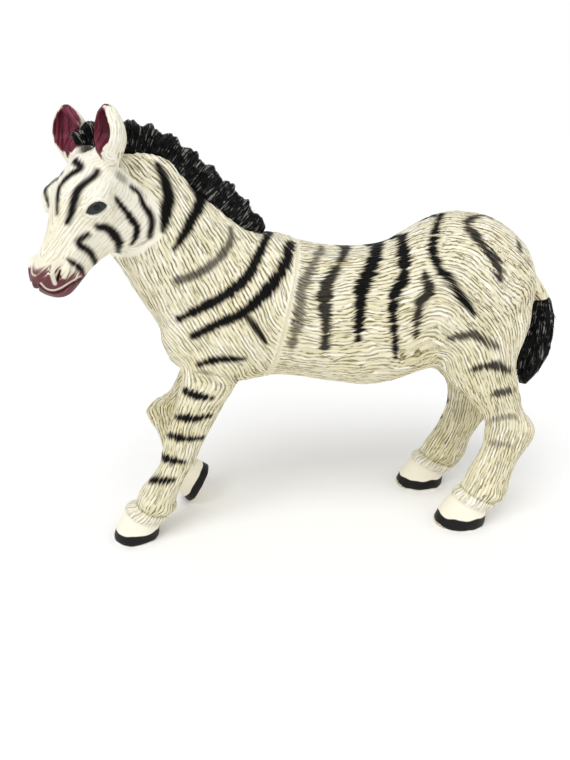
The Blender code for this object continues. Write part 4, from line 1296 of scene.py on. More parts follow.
def leg_planes(side):
    """The three faces where a foreleg's moulding meets the chest; each looks into the leg."""
    along = LEG_JOINT_BACK - LEG_JOINT_FRONT
    down = np.array((along[2], 0, -along[0])) / np.linalg.norm(along)
    inner = np.array((0, MIDDLE_Y + side * LEG_INNER, 0))
    return [
        (LEG_JOINT_FRONT, down),
        (inner, np.array((0, side, 0))),
        (LEG_BACK, np.array((-1, 0, 0))),
    ]


def beyond(point, planes):
    """Whether a point lies on the far side of every plane."""
    return all((np.array(point) - base) @ way > 0 for base, way in planes)


def cut_off(shape, base, way):
    """Keeps what lies beyond a plane and closes the cut."""
    bmesh.ops.bisect_plane(
        shape, geom=shape.verts[:] + shape.edges[:] + shape.faces[:], dist=CUT_REACH,
        plane_co=Vector(base), plane_no=Vector(way), clear_inner=True)
    close_holes(shape)


def close_holes(shape):
    """Fills the open rims that a cut leaves."""
    rims = [edge for edge in shape.edges if edge.is_boundary]
    bmesh.ops.holes_fill(shape, edges=rims, sides=0)
    caps = [face for face in shape.faces if len(face.verts) > 8]
    bmesh.ops.triangulate(shape, faces=caps)


def keep_in_box(mesh):
    """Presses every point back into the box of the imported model."""
    write_points(mesh, np.clip(read_points(mesh), box_low, box_high))


def cut_skin(name, kept_planes, dropped):
    """A closed copy of the skin beyond the kept planes, without the dropped blocks."""
    shape = bmesh.new()
    shape.from_mesh(skin.data)
    for base, way in kept_planes:
        cut_off(shape, base + way * JOINT_GAP, way)
    for planes in dropped:
        for base, way in planes:
            near = [face for face in shape.faces if face.calc_center_median().z < LEG_TOP]
            parts = {item for face in near for item in (*face.verts, *face.edges)}
            bmesh.ops.bisect_plane(
                shape, geom=list(parts) + near, dist=CUT_REACH, plane_co=Vector(base), plane_no=Vector(way))
        gone = [face for face in shape.faces if beyond(face.calc_center_median(), planes)]
        bmesh.ops.delete(shape, geom=gone, context="FACES")
        close_holes(shape)
    mesh = bpy.data.meshes.new(name)
    shape.to_mesh(mesh)
    shape.free()
    return new_object(name, mesh)


points = read_points(skin.data)
box_low = np.array(cad_low)
box_high = np.array(cad_high)
print("points outside the CAD box:", int(np.any((points < box_low) | (points > box_high), axis=1).sum()))
keep_in_box(skin.data)
skin_pieces = {}
for name, kept_planes, dropped in (
    ("front_body", [(GIRTH_POINT, -GIRTH_NORMAL)], [leg_planes(-1), leg_planes(1)]),
    ("rear_body", [(GIRTH_POINT, GIRTH_NORMAL)], []),
    ("left_foreleg", leg_planes(-1), []),
    ("right_foreleg", leg_planes(1), []),
):
    skin_pieces[name] = cut_skin(name + "_skin", kept_planes, dropped)
for name, piece in skin_pieces.items():
    piece.data.shade_smooth()
    piece.data.calc_loop_triangles()
    print(name, "triangles:", len(piece.data.loop_triangles))
bpy.data.objects.remove(skin)

# %% [markdown]
# ## The mane
# The mane is a black moulding with its tongue pressed into the crest. It is a slab cut into upright
# strands, and every few strands end together in a tuft, which scallops the top. Each point of the slab is
# measured along the crest and up from it, and the strands and tufts are waves of the first measure.

# %% Shape the mane
HAIR_VOXEL = 0.26 * MM
HAIR_SWELL = 0.02 * MM
# Along the crest: middle of the slab's cross-section (x, y, z) and its lean from upright in degrees
MANE_SECTIONS = [
    (-57.5, -5.6, 105.8, -30), (-55.9, -4.0, 106.8, -8), (-52.7, -1.1, 107.1, 6), (-48.9, 1.0, 106.9, 12),
    (-45.4, 2.0, 106.4, 18), (-42.0, 2.9, 105.4, 28), (-37.9, 3.2, 103.2, 37), (-33.9, 3.3, 100.0, 43),
    (-29.9, 3.35, 96.6, 45), (-25.9, 3.35, 93.0, 46), (-21.9, 3.35, 89.5, 45), (-18.1, 3.35, 86.6, 40),
    (-13.7, 3.35, 84.5, 30),
]
LOCK_SPACING = 2.4 * MM
STRAND_SPACING = 0.78 * MM
STRAND_CUT = 0.24 * MM
LOCK_CUT = 0.15 * MM
SCALLOP = 0.3 * MM
MANE_TALL = 4.6 * MM
# Strands lie only on the sides of the slab, in its lower part and away from its ends
STRAND_TALLEST = 0.42
STRAND_MARGIN = 5 * MM
# The forelock hangs lower in the solid than on the toy: where it starts, its middle, and how far it rises
FORELOCK_START = -52.5 * MM
FORELOCK_MIDDLE = 105.8 * MM
FORELOCK_LIFT = 0.85


def crest_measures(points):
    """How far along the crest each point lies, how far up from its middle line, and which way is up."""
    rows = smooth_line(MANE_SECTIONS, 0.78)
    middle = rows[:, :3] * MM
    lean = np.radians(rows[:, 3])
    ups = np.stack([np.sin(lean), np.zeros(len(lean)), np.cos(lean)], axis=1)
    steps = np.diff(middle, axis=0)
    reach = np.concatenate([[0], np.cumsum(np.linalg.norm(steps, axis=1))])
    tangents = along_surface(np.gradient(middle, axis=0), ups)
    along = np.empty(len(points))
    upward = np.empty(len(points))
    way = np.empty_like(points)
    for part in np.array_split(np.arange(len(points)), 1 + len(points) // 20000):
        offset = points[part, None, :] - middle[None]
        ahead = np.einsum("ijk,jk->ij", offset, tangents)
        row = np.abs(ahead).argmin(axis=1)
        take = np.arange(len(part))
        along[part] = reach[row] + ahead[take, row]
        upward[part] = row_dot(offset[take, row], ups[row])
        way[part] = ups[row]
    return along, upward, way


mane = remeshed_copy("mane_locks", ("mane",), HAIR_SWELL, HAIR_VOXEL)
mane_points = read_points(mane.data)
mane_edges = read_edges(mane.data)
mane_points = relax(mane_points, mane_edges, 14)
forelock = np.clip((FORELOCK_START - mane_points[:, 0]) / (2 * MM), 0, 1)
under = np.minimum(mane_points[:, 2] - FORELOCK_MIDDLE, 0)
mane_points[:, 2] -= under * FORELOCK_LIFT * forelock
write_points(mane.data, mane_points)
mane_normals = read_normals(mane.data)
along, upward, crest_way = crest_measures(mane_points)
tall = np.maximum(upward, 0) / MANE_TALL
bend = 0.45 * soft_noise(mane_points, 5 * MM, 21) + 0.25 * soft_noise(mane_points, 2.2 * MM, 22)
side = np.sign(mane_points[:, 1] - MIDDLE_Y)
strand_angle = 2 * math.pi * along / STRAND_SPACING + 2.6 * bend + 1.1 * side
lock_angle = 2 * math.pi * along / LOCK_SPACING + 1.3 * soft_noise(mane_points * (1, 0, 1), 9 * MM, 23)
strand_gap = 0.5 - 0.5 * np.cos(strand_angle)
lock_gap = 0.5 - 0.5 * np.cos(lock_angle)
below_top = np.clip((1.0 - tall) / 0.4, 0.1, 1)
from_ends = np.clip(np.minimum(along - along.min(), along.max() - along) / (3 * MM), 0, 1)
cut_depth = STRAND_CUT * strand_gap ** 1.5 * below_top
cut_depth += LOCK_CUT * lock_gap ** 3 * np.clip(tall * 1.5, 0, 1)
scallop = SCALLOP * lock_gap ** 3 * np.clip((tall - 0.55) / 0.45, 0, 1) * from_ends
mane_points -= mane_normals * (cut_depth * np.clip(0.3 + tall * 3, 0, 1))[:, None]
mane_points -= crest_way * scallop[:, None]
write_points(mane.data, mane_points)
store(mane.data, "across", along)
store(mane.data, "way", crest_way, "FLOAT_VECTOR")
print("mane points:", len(mane_points), "length in mm:", round(float(np.ptp(along)) / MM, 1))

# %% [markdown]
# ## Loose strands with Geometry Nodes
# On top of the slab lie single strands, thinner than the mould's main cuts. A tree scatters points over
# the black moulding, puts a small tapered strand on each, turns it along the stored direction of the hair
# and tilts it a little away from the surface. The same tree serves the mane and the tail.

# %% Strands for mane and tail
# Places of the number inputs of a Random Value node, which has one pair for every kind of value
FLOAT_MIN = 2
FLOAT_MAX = 3
# More room than any strand count needs, so that only the count sets how many strands there are
ROOM = 1e6


def strand_tree():
    """Scatters tapered, slightly bowed strands over the places where the mesh has room for them."""
    tree, source = new_tree("lay_strands", {
        "Strand Count": 700.0, "Strand Length": 3.4 * MM, "Strand Radius": 0.17 * MM, "Tilt": 0.12, "Seed": 5,
    })
    room = add_node(tree, ATTRIBUTE, {"Name": "room"}, data_type="FLOAT")
    density = add_node(tree, MATH, {0: room, 1: source["Strand Count"]}, operation="MULTIPLY")
    spots = add_node(tree, "GeometryNodeDistributePointsOnFaces", {
        "Mesh": source["Geometry"], "Density": density, "Seed": source["Seed"],
    }).outputs
    way = add_node(tree, ATTRIBUTE, {"Name": "way"}, data_type="FLOAT_VECTOR")
    tilt = add_node(tree, SCALED, {0: spots["Normal"], "Scale": source["Tilt"]}, operation="SCALE")
    aim = add_node(tree, SCALED, {0: way, 1: tilt}, operation="ADD")
    turn = add_node(tree, "FunctionNodeAlignRotationToVector", {"Vector": aim}, axis="Z")
    body = add_node(tree, "GeometryNodeMeshCone", {
        "Vertices": 5, "Side Segments": 4, "Fill Segments": 1, "Radius Top": 0.02 * MM,
        "Radius Bottom": source["Strand Radius"], "Depth": source["Strand Length"],
    })
    place = add_node(tree, "GeometryNodeInputPosition")
    parts = add_node(tree, "ShaderNodeSeparateXYZ", {0: place})
    share = add_node(tree, MATH, {0: parts.outputs["Z"], 1: source["Strand Length"]}, operation="DIVIDE")
    wave = add_node(tree, MATH, {0: share, 1: 5.0}, operation="MULTIPLY")
    wave = add_node(tree, MATH, {0: wave}, operation="SINE")
    wave = add_node(tree, MATH, {0: wave, 1: source["Strand Radius"]}, operation="MULTIPLY")
    bow = add_node(tree, "ShaderNodeCombineXYZ", {"X": wave})
    bent = add_node(tree, "GeometryNodeSetPosition", {"Geometry": body, "Offset": bow})
    size = add_node(tree, "FunctionNodeRandomValue", {
        FLOAT_MIN: 0.6, FLOAT_MAX: 1.15, "Seed": source["Seed"],
    }, data_type="FLOAT")
    laid = add_node(tree, "GeometryNodeInstanceOnPoints", {
        "Points": spots["Points"], "Instance": bent, "Rotation": turn, "Scale": size,
    })
    both = add_node(tree, "GeometryNodeJoinGeometry", {"Geometry": laid})
    tree.links.new(source["Geometry"], both.inputs["Geometry"])
    finish_tree(tree, source, both)
    return tree


black_pvc = bpy.data.materials.new("black_pvc")
strands = strand_tree()
on_side = np.abs(row_dot(mane_normals, crest_way)) < 0.6
inside = (along > STRAND_MARGIN) & (along < along.max() - STRAND_MARGIN)
store(mane.data, "room", ((tall < STRAND_TALLEST) & on_side & inside) * ROOM)
bake_tree(mane, strands, {
    "Strand Count": 0.5, "Strand Length": 2.4 * MM, "Strand Radius": 0.13 * MM, "Tilt": -0.02,
}, black_pvc)
keep_in_box(mane.data)
mane.data.shade_smooth()
mane.data.calc_loop_triangles()
print("mane triangles:", len(mane.data.loop_triangles))

# %% [markdown]
# ## The tail
# The tail has an ivory stem and a tuft of black hair that is moulded onto it. The tuft is a flat drop with
# a rounded top. Its eleven locks and their finer strands all run to the tip, so the cuts are waves of the
# angle round its middle line. The stem is drawn in towards the rump.

# %% Shape the tail
# Where the tuft starts on the stem, and which way it hangs from there
TUFT_TOP = np.array((62.8, 3.348, 63.8)) * MM
TUFT_WAY = np.array((0.24, 0, -0.97))
# The tuft's middle line, from its top to its tip (x, z)
TUFT_AXIS = [(58.0, 76.0), (62.2, 68.0), (64.3, 60.0), (64.4, 52.0), (63.6, 45.0), (62.5, 38.0)]
TUFT_HIGH = 64.5 * MM
TUFT_TALL = 26 * MM
TUFT_LOCKS = 11
TUFT_STRANDS = 29
LOCK_DEPTH = 0.55 * MM
STRAND_DEPTH = 0.2 * MM
TUFT_ROUNDING = 0.22
TUFT_GIRTH_RADIUS = 4.2 * MM
STEM_DRAWN_IN = 2.4 * MM


def half_tail(name, way):
    """The part of the tail on one side of the plane where the tuft starts."""
    whole = remeshed_copy(name, ("tail",), HAIR_SWELL, HAIR_VOXEL)
    write_points(whole.data, relax(read_points(whole.data), read_edges(whole.data), 10))
    shape = bmesh.new()
    shape.from_mesh(whole.data)
    cut_off(shape, TUFT_TOP, way)
    shape.to_mesh(whole.data)
    shape.free()
    return whole


stem = half_tail("tail_stem", -TUFT_WAY)
tuft = half_tail("tail_tuft", TUFT_WAY)
tuft_points = read_points(tuft.data)
tuft_normals = read_normals(tuft.data)
axis = smooth_line(TUFT_AXIS, 0.78) * MM
axis_x = np.interp(-tuft_points[:, 2], -axis[:, 1], axis[:, 0])
turn = np.arctan2(tuft_points[:, 1] - MIDDLE_Y, tuft_points[:, 0] - axis_x)
drop = np.clip((TUFT_HIGH - tuft_points[:, 2]) / TUFT_TALL, 0, 1)
turn = turn + 0.5 * np.sin(drop * 4) + 0.22 * soft_noise(tuft_points * (1, 1, 0.4), 4 * MM, 31)
lock_gap = 0.5 - 0.5 * np.cos(turn * TUFT_LOCKS)
strand_gap = 0.5 - 0.5 * np.cos(turn * TUFT_STRANDS + 3 * drop)
free = np.clip(drop * 8, 0, 1) * np.clip((1 - drop) * 5, 0.2, 1)
cut_depth = (LOCK_DEPTH * lock_gap ** 2 + STRAND_DEPTH * strand_gap) * free
tuft_points -= tuft_normals * cut_depth[:, None]
below_cut = (tuft_points - TUFT_TOP) @ TUFT_WAY / MM
rounding = TUFT_ROUNDING * np.clip(1 - below_cut / 1.8, 0, 1) ** 2
tuft_points[:, 0] += (axis_x - tuft_points[:, 0]) * rounding
tuft_points[:, 1] += (MIDDLE_Y - tuft_points[:, 1]) * rounding
write_points(tuft.data, tuft_points)
down = np.stack([
    np.interp(-tuft_points[:, 2] + 0.5 * MM, -axis[:, 1], axis[:, 0]) - axis_x,
    (MIDDLE_Y - tuft_points[:, 1]) * 0.05,
    np.full(len(axis_x), -0.5 * MM),
], axis=1)
store(tuft.data, "way", along_surface(down, tuft_normals), "FLOAT_VECTOR")
store(tuft.data, "across", turn * TUFT_GIRTH_RADIUS)
inward = tuft_points[:, 0] < 67 * MM
store(tuft.data, "room", ((drop > 0.06) & (drop < 0.8) & inward) * ROOM)
bake_tree(tuft, strands, {"Strand Count": 0.5, "Strand Length": 5.0 * MM, "Tilt": 0.03}, black_pvc)
stem_points = read_points(stem.data)
up_stem = np.clip((stem_points[:, 2] / MM - 63) / 9, 0, 1)
stem_points[:, 0] -= STEM_DRAWN_IN * up_stem
write_points(stem.data, stem_points)
store(stem.data, "across", stem_points[:, 1])
for name, value in (
    ("hair_amount", 1), ("burgundy", -9), ("ear_paint", -9), ("stripe", -4), ("coronet", 9),
    ("hoof_height", 99), ("eye", -9), ("pupil", -9), ("nostril", -9), ("seam", 9),
):
    store(stem.data, name, np.full(len(stem_points), value))
for piece in (stem, tuft):
    keep_in_box(piece.data)
    piece.data.shade_smooth()
print("tail points:", len(stem.data.vertices), len(tuft.data.vertices))

# %% [markdown]
# ## Colours
# The toy's colours were read off the photograph as sRGB values. Blender mixes light in linear values, so
# one function turns the first into the second.

# %% Colours
def srgb(code):
    """A hex colour as linear red, green and blue with an alpha of 1."""
    channels = [int(code[i:i + 2], 16) / 255 for i in (1, 3, 5)]
    return (*(c / 12.92 if c <= 0.04045 else ((c + 0.055) / 1.055) ** 2.4 for c in channels), 1.0)


IVORY = srgb("#f2edd8")
IVORY_DEEP = srgb("#e6ddb6")
# The whitest ivory is the tone of the face and the cuffs, and also the painted highlight on the crests of
# strands.
IVORY_WHITE_AND_HIGHLIGHT = srgb("#fffdf6")
VALLEY = srgb("#cfc498")
# The wash colours serve the wash in the grooves and also painted shade in the folds and creases.
WASH_AND_SHADE = srgb("#7d7142")
DARK_WASH_AND_SHADE = srgb("#54472a")
INK = srgb("#080706")
INK_HAZE = srgb("#3d3122")
MOUTH_DARK = srgb("#3a0f1c")
BURGUNDY = srgb("#560f22")
BURGUNDY_PALE = srgb("#85304a")
HOOF = srgb("#f6f0dd")
EYE_SLATE = srgb("#252b2c")
BLACK = srgb("#060606")
JET = srgb("#040405")
# The pale grey on the black moulding is a painted highlight along the strands.
JET_HIGHLIGHT = srgb("#a9a8a2")
print("ivory in linear values:", [round(c, 3) for c in IVORY[:3]])

# %% [markdown]
# ## What the paint reads
# The skin carries distances: across the hair, into a stripe, up from the sole and so on. The material reads
# them, and noises that are drawn out along the hair break up every edge of paint. All of these are kept
# under names in one table, the marks, from which the layers of paint take what they need.

# %% Marks for the paint
MIX = "ShaderNodeMix"
COLOUR = {"data_type": "RGBA"}
SKIN_FIELDS = (
    "across", "hair_amount", "wide_hollow", "fine_hollow", "coronet", "hoof_height", "ragged", "stripe",
    "ink", "burgundy", "ear_paint", "lip", "mouth", "nostril", "eye", "pupil", "seam",
)
# Length, width and number of the stroke noises, and the sizes of the even ones
STROKES = {"strokes": (6 * MM, 0.6 * MM, 1.0), "long_strokes": (8 * MM, 0.42 * MM, 5.0)}
EVEN_NOISES = {"patches": (12 * MM, 2.0), "fine": (0.4 * MM, 2.0), "wavy": (3.4 * MM, 0.0)}


def bare_tree(owner):
    """The emptied node tree of a material or a world."""
    owner.use_nodes = True
    owner.node_tree.nodes.clear()
    return owner.node_tree


def skin_marks(tree):
    """Reads what is stored on the skin and adds the noises."""
    place = add_node(tree, "ShaderNodeTexCoord").outputs["Object"]
    marks = {
        name: add_node(tree, "ShaderNodeAttribute", attribute_name=name).outputs["Fac"]
        for name in SKIN_FIELDS
    }
    lines, marks["wave"] = groove_lines(tree, marks["across"], place)
    marks["wash_lines"] = add_node(tree, MATH, {0: lines, 1: marks["hair_amount"]}, operation="MULTIPLY")
    for name, (length, width, number) in STROKES.items():
        marks[name] = stroke_noise(tree, marks["across"], place, length, width, number)
    for name, (size, detail) in EVEN_NOISES.items():
        marks[name] = add_node(tree, NOISE, {"Vector": place, "Scale": 1 / size, "Detail": detail})
    marks["height"] = add_node(tree, "ShaderNodeSeparateXYZ", {0: place}).outputs["Z"]
    long_edge = add_node(tree, MATH, {0: marks["long_strokes"], 1: -0.5}, operation="ADD")
    long_edge = add_node(tree, MATH, {0: long_edge, 1: 4.0}, operation="MULTIPLY")
    short_edge = add_node(tree, MATH, {0: marks["strokes"], 1: -0.5}, operation="ADD")
    marks["comb_edge"] = add_node(tree, MATH, {0: short_edge, 1: 1.2, 2: long_edge}, operation="MULTIPLY_ADD")
    return marks


def lay_paint(tree, under, mark, start, end, most, paint):
    """A paint over the colours below, which sets in smoothly where the mark goes from start to end."""
    share = add_node(tree, RANGE, {
        "Value": mark, "From Min": start, "From Max": end, "To Max": most,
    }, **SMOOTH)
    return add_node(tree, MIX, {0: share, 6: under, 7: paint}, **COLOUR)


print("stored fields that the paint reads:", len(SKIN_FIELDS))

# %% [markdown]
# ## Ivory, wash and hooves
# The bodies are ivory PVC: yellower low on the barrel, with a painted highlight on the crests of single
# strands, and browner in the grooves, where the wash stayed, and in the folds, where wash and painted shade
# lie. The flash of the glued seam is a thin ridge with a painted highlight along it and painted shade at its
# edges. The hooves are smooth cream above a black band, with a pale cuff and a crease over them that wash
# and painted shade darken.

# %% Ivory, wash and hooves
def lay_ivory(tree, marks):
    """The ivory of the mouldings with the wash in its grooves, painted highlights on the strands, and painted
    shade in the hollows and at the seam.
    """
    amount = marks["hair_amount"]
    low = add_node(tree, RANGE, {
        "Value": marks["height"], "From Min": 82 * MM, "From Max": 52 * MM, "To Max": 0.6,
    })
    yellow = add_node(tree, MATH, {0: marks["patches"], 1: 1.8, 2: -0.9}, operation="MULTIPLY_ADD")
    yellow = add_node(tree, MATH, {0: yellow, 1: low}, operation="ADD", use_clamp=True)
    colour = add_node(tree, MIX, {0: yellow, 6: IVORY, 7: IVORY_DEEP}, **COLOUR)
    valley = add_node(tree, RANGE, {
        "Value": marks["wave"], "From Min": -0.2, "From Max": 0.95, "To Max": 0.55,
    }, **SMOOTH)
    streak = add_node(tree, RANGE, {
        "Value": marks["long_strokes"], "From Min": 0.5, "From Max": 0.34,
    }, **SMOOTH)
    valley = add_node(tree, MATH, {0: streak, 1: 0.45, 2: valley}, operation="MULTIPLY_ADD")
    valley = add_node(tree, MATH, {0: valley, 1: amount}, operation="MULTIPLY", use_clamp=True)
    colour = add_node(tree, MIX, {0: valley, 6: colour, 7: VALLEY}, **COLOUR)
    # Painted highlight: where strokes lie, the crests between grooves are lightened to the whitest ivory.
    strand_highlight = add_node(tree, RANGE, {
        "Value": marks["strokes"], "From Min": 0.52, "From Max": 0.63, "To Max": 0.85,
    }, **SMOOTH)
    crest = add_node(tree, RANGE, {"Value": marks["wave"], "From Min": 0.2, "From Max": -0.7}, **SMOOTH)
    strand_highlight = add_node(tree, MATH, {0: strand_highlight, 1: crest}, operation="MULTIPLY")
    colour = add_node(tree, MIX, {0: strand_highlight, 6: colour, 7: IVORY_WHITE_AND_HIGHLIGHT}, **COLOUR)
    pale = add_node(tree, RANGE, {"Value": amount, "From Min": 0.7, "From Max": 0.35, "To Max": 0.3})
    pale = add_node(tree, MATH, {0: yellow, 1: -0.5, 2: pale}, operation="MULTIPLY_ADD", use_clamp=True)
    colour = add_node(tree, MIX, {0: pale, 6: colour, 7: IVORY_WHITE_AND_HIGHLIGHT}, **COLOUR)
    share = add_node(tree, RANGE, {
        "Value": marks["patches"], "From Min": 0.35, "From Max": 0.6, "To Min": 0.45, "To Max": 1.0,
    })
    share = add_node(tree, MATH, {0: share, 1: marks["wash_lines"]}, operation="MULTIPLY")
    colour = add_node(tree, MIX, {0: share, 6: colour, 7: WASH_AND_SHADE}, **COLOUR)
    for mark, start, end, most, paint in (
        # Wash and painted shade darken the wide folds and the fine creases.
        ("wide_hollow", 0.16, 0.6, 0.6, WASH_AND_SHADE),
        ("fine_hollow", 0.1, 0.26, 0.8, DARK_WASH_AND_SHADE),
        # Painted shade at both edges of the seam's flash, and a painted highlight on its ridge.
        ("seam", 0.6, 0.35, 0.5, VALLEY),
        ("seam", 0.28, 0.12, 0.9, HOOF),
    ):
        colour = lay_paint(tree, colour, marks[mark], start, end, most, paint)
    return colour


def lay_hooves(tree, marks, colour):
    """The cuff, the crease darkened with wash and painted shade, the cream of the hooves, and the black band
    above the soles.
    """
    colour = lay_paint(tree, colour, marks["coronet"], 3.4, 2.6, 0.4, IVORY_WHITE_AND_HIGHLIGHT)
    # The crease over the cuff gets wash and painted shade.
    crease = add_node(tree, MATH, {0: marks["coronet"], 1: 3.5}, operation="SUBTRACT")
    crease = add_node(tree, MATH, {0: crease}, operation="ABSOLUTE")
    colour = lay_paint(tree, colour, crease, 0.7, 0.1, 0.22, WASH_AND_SHADE)
    ring = add_node(tree, RANGE, {"Value": marks["coronet"], "From Min": 0.3, "From Max": 0.0}, **SMOOTH)
    colour = add_node(tree, MIX, {0: ring, 6: colour, 7: HOOF}, **COLOUR)
    height = add_node(tree, MATH, {
        0: marks["wavy"], 1: 0.8, 2: marks["hoof_height"],
    }, operation="MULTIPLY_ADD")
    band = ring
    for start, end in ((2.95, 2.75), (0.55, 0.8)):
        side = add_node(tree, RANGE, {"Value": height, "From Min": start, "From Max": end}, **SMOOTH)
        band = add_node(tree, MATH, {0: band, 1: side}, operation="MULTIPLY")
    return add_node(tree, MIX, {0: band, 6: colour, 7: BLACK}, **COLOUR)


print("linear ivory and wash:", [round(c, 3) for c in (*IVORY[:3], *WASH_AND_SHADE[:3])])

# %% [markdown]
# ## Stripes, burgundy and eyes
# The stripes are sprayed on: a brown haze lies round a black middle, and strands break both edges. The
# burgundy is brushed along the hair on the muzzle and fills the ears. The lips are rubbed back to ivory. The
# eyes are slate grey with a black rim and pupil.

# %% Stripes, burgundy and eyes
def lay_stripes(tree, marks, colour):
    """The stripes, and how strongly the ink covers each place."""
    edge = add_node(tree, MATH, {
        0: marks["comb_edge"], 1: marks["ragged"], 2: marks["stripe"],
    }, operation="MULTIPLY_ADD")
    haze = add_node(tree, RANGE, {
        "Value": edge, "From Min": -1.05, "From Max": 0.2, "To Max": 0.8,
    }, **SMOOTH)
    haze = add_node(tree, MATH, {0: haze, 1: marks["ink"]}, operation="MULTIPLY")
    colour = add_node(tree, MIX, {0: haze, 6: colour, 7: INK_HAZE}, **COLOUR)
    ink = add_node(tree, RANGE, {"Value": edge, "From Min": -0.35, "From Max": 0.45}, **SMOOTH)
    cover = add_node(tree, MATH, {0: marks["ink"], 1: 4.0}, operation="POWER")
    ink = add_node(tree, MATH, {0: ink, 1: cover}, operation="MULTIPLY")
    return add_node(tree, MIX, {0: ink, 6: colour, 7: INK}, **COLOUR), ink


def lay_burgundy(tree, marks, colour):
    """The wine of the muzzle and the ears, then the lips, the mouth and the nostrils."""
    brush = add_node(tree, MATH, {0: marks["burgundy"], 1: 0.45}, operation="MULTIPLY")
    brush = add_node(tree, MATH, {0: marks["comb_edge"], 1: 1.1, 2: brush}, operation="MULTIPLY_ADD")
    brush = add_node(tree, RANGE, {
        "Value": brush, "From Min": -0.3, "From Max": 0.8, "To Max": 0.96,
    }, **SMOOTH)
    ear = add_node(tree, MATH, {
        0: marks["comb_edge"], 1: 0.25, 2: marks["ear_paint"],
    }, operation="MULTIPLY_ADD")
    ear = add_node(tree, RANGE, {"Value": ear, "From Min": -0.15, "From Max": 0.35}, **SMOOTH)
    wine = lay_paint(tree, BURGUNDY, marks["long_strokes"], 0.5, 0.7, 1.0, BURGUNDY_PALE)
    covered = add_node(tree, MATH, {0: brush, 1: ear}, operation="MAXIMUM")
    colour = add_node(tree, MIX, {0: covered, 6: colour, 7: wine}, **COLOUR)
    for mark, start, end, most, paint in (
        ("lip", 0.25, 0.85, 0.75, IVORY),
        ("mouth", 0.3, 0.8, 1.0, MOUTH_DARK),
        ("nostril", 0.0, 0.45, 1.0, MOUTH_DARK),
    ):
        colour = lay_paint(tree, colour, marks[mark], start, end, most, paint)
    return colour


def lay_eyes(tree, marks, colour):
    """The eyes, and where they lie."""
    eye = add_node(tree, RANGE, {"Value": marks["eye"], "From Min": 0.0, "From Max": 0.12}, **SMOOTH)
    colour = add_node(tree, MIX, {0: eye, 6: colour, 7: EYE_SLATE}, **COLOUR)
    black = []
    for mark, start, end in (("eye", 0.32, 0.1), ("pupil", 0.0, 0.25)):
        part = add_node(tree, RANGE, {"Value": marks[mark], "From Min": start, "From Max": end}, **SMOOTH)
        black.append(add_node(tree, MATH, {0: part, 1: eye}, operation="MULTIPLY"))
    dark = add_node(tree, MATH, {0: black[0], 1: black[1]}, operation="MAXIMUM")
    return add_node(tree, MIX, {0: dark, 6: colour, 7: BLACK}, **COLOUR), eye


print("linear burgundy and eye:", [round(c, 3) for c in (*BURGUNDY[:3], *EYE_SLATE[:3])])

# %% [markdown]
# ## Painted PVC
# The layers go on in the order in which the toy was painted. The ivory is satin, the ink of the stripes a
# little duller and the eyes glossy. The grooves are also a fine relief in the shading.

# %% Paint the skin
def paint_skin(material):
    """Satin ivory PVC with a wash in its grooves and brushed paints; the wash makes the hair readable."""
    tree = bare_tree(material)
    marks = skin_marks(tree)
    colour = lay_ivory(tree, marks)
    colour = lay_hooves(tree, marks, colour)
    colour, ink = lay_stripes(tree, marks, colour)
    colour = lay_burgundy(tree, marks, colour)
    colour, eye = lay_eyes(tree, marks, colour)
    rough = add_node(tree, MATH, {0: marks["fine"], 1: 0.16, 2: 0.42}, operation="MULTIPLY_ADD")
    rough = add_node(tree, MATH, {0: eye, 1: -0.34, 2: rough}, operation="MULTIPLY_ADD")
    gloss = add_node(tree, RANGE, {"Value": ink, "To Min": 0.3, "To Max": 0.1})
    relief = add_node(tree, MATH, {
        0: marks["wave"], 1: 0.25, 2: marks["wash_lines"],
    }, operation="MULTIPLY_ADD")
    relief = add_node(tree, MATH, {0: relief, 1: marks["hair_amount"]}, operation="MULTIPLY")
    relief = add_node(tree, MATH, {0: relief, 1: -1.0}, operation="MULTIPLY")
    relief = add_node(tree, MATH, {0: marks["fine"], 1: 0.12, 2: relief}, operation="MULTIPLY_ADD")
    bump = add_node(tree, "ShaderNodeBump", {"Height": relief, "Distance": 0.2 * MM, "Strength": 0.9})
    shader = add_node(tree, "ShaderNodeBsdfPrincipled", {
        "IOR": 1.5, "Base Color": colour, "Roughness": rough, "Specular IOR Level": gloss, "Normal": bump,
    })
    add_node(tree, "ShaderNodeOutputMaterial", {"Surface": shader})


paint_skin(painted_pvc)
print("nodes in the paint:", len(painted_pvc.node_tree.nodes))

# %% [markdown]
# ## Glossy black PVC
# Mane and tuft are moulded in black PVC and stay unpainted. They are glossier than the ivory, and thin pale
# lines painted along the strands stand for highlights.

# %% Finish the black moulding
def finish_black(material):
    """Glossy black PVC; thin pale lines painted on the raised strands stand for highlights."""
    tree = bare_tree(material)
    place = add_node(tree, "ShaderNodeTexCoord").outputs["Object"]
    across = add_node(tree, "ShaderNodeAttribute", attribute_name="across").outputs["Fac"]
    strokes = stroke_noise(tree, across, place, 3.2 * MM, 0.2 * MM, 2.0)
    # Painted highlight: thin pale lines along the strands of the black moulding.
    pale = add_node(tree, RANGE, {
        "Value": strokes, "From Min": 0.55, "From Max": 0.66, "To Max": 0.75,
    }, **SMOOTH)
    gaps = add_node(tree, NOISE, {"Vector": place, "Scale": 1 / (1.6 * MM), "Detail": 1.0})
    gaps = add_node(tree, RANGE, {"Value": gaps, "From Min": 0.44, "From Max": 0.54}, **SMOOTH)
    pale = add_node(tree, MATH, {0: pale, 1: gaps}, operation="MULTIPLY")
    shade = add_node(tree, MIX, {0: pale, 6: JET, 7: JET_HIGHLIGHT}, **COLOUR)
    bump = add_node(tree, "ShaderNodeBump", {"Height": strokes, "Distance": 0.7 * MM, "Strength": 1.0})
    shader = add_node(tree, "ShaderNodeBsdfPrincipled", {
        "IOR": 1.5, "Base Color": shade, "Roughness": 0.3, "Specular IOR Level": 0.14, "Normal": bump,
    })
    add_node(tree, "ShaderNodeOutputMaterial", {"Surface": shader})


finish_black(black_pvc)
for piece in (*skin_pieces.values(), stem):
    piece.data.materials.clear()
    piece.data.materials.append(painted_pvc)

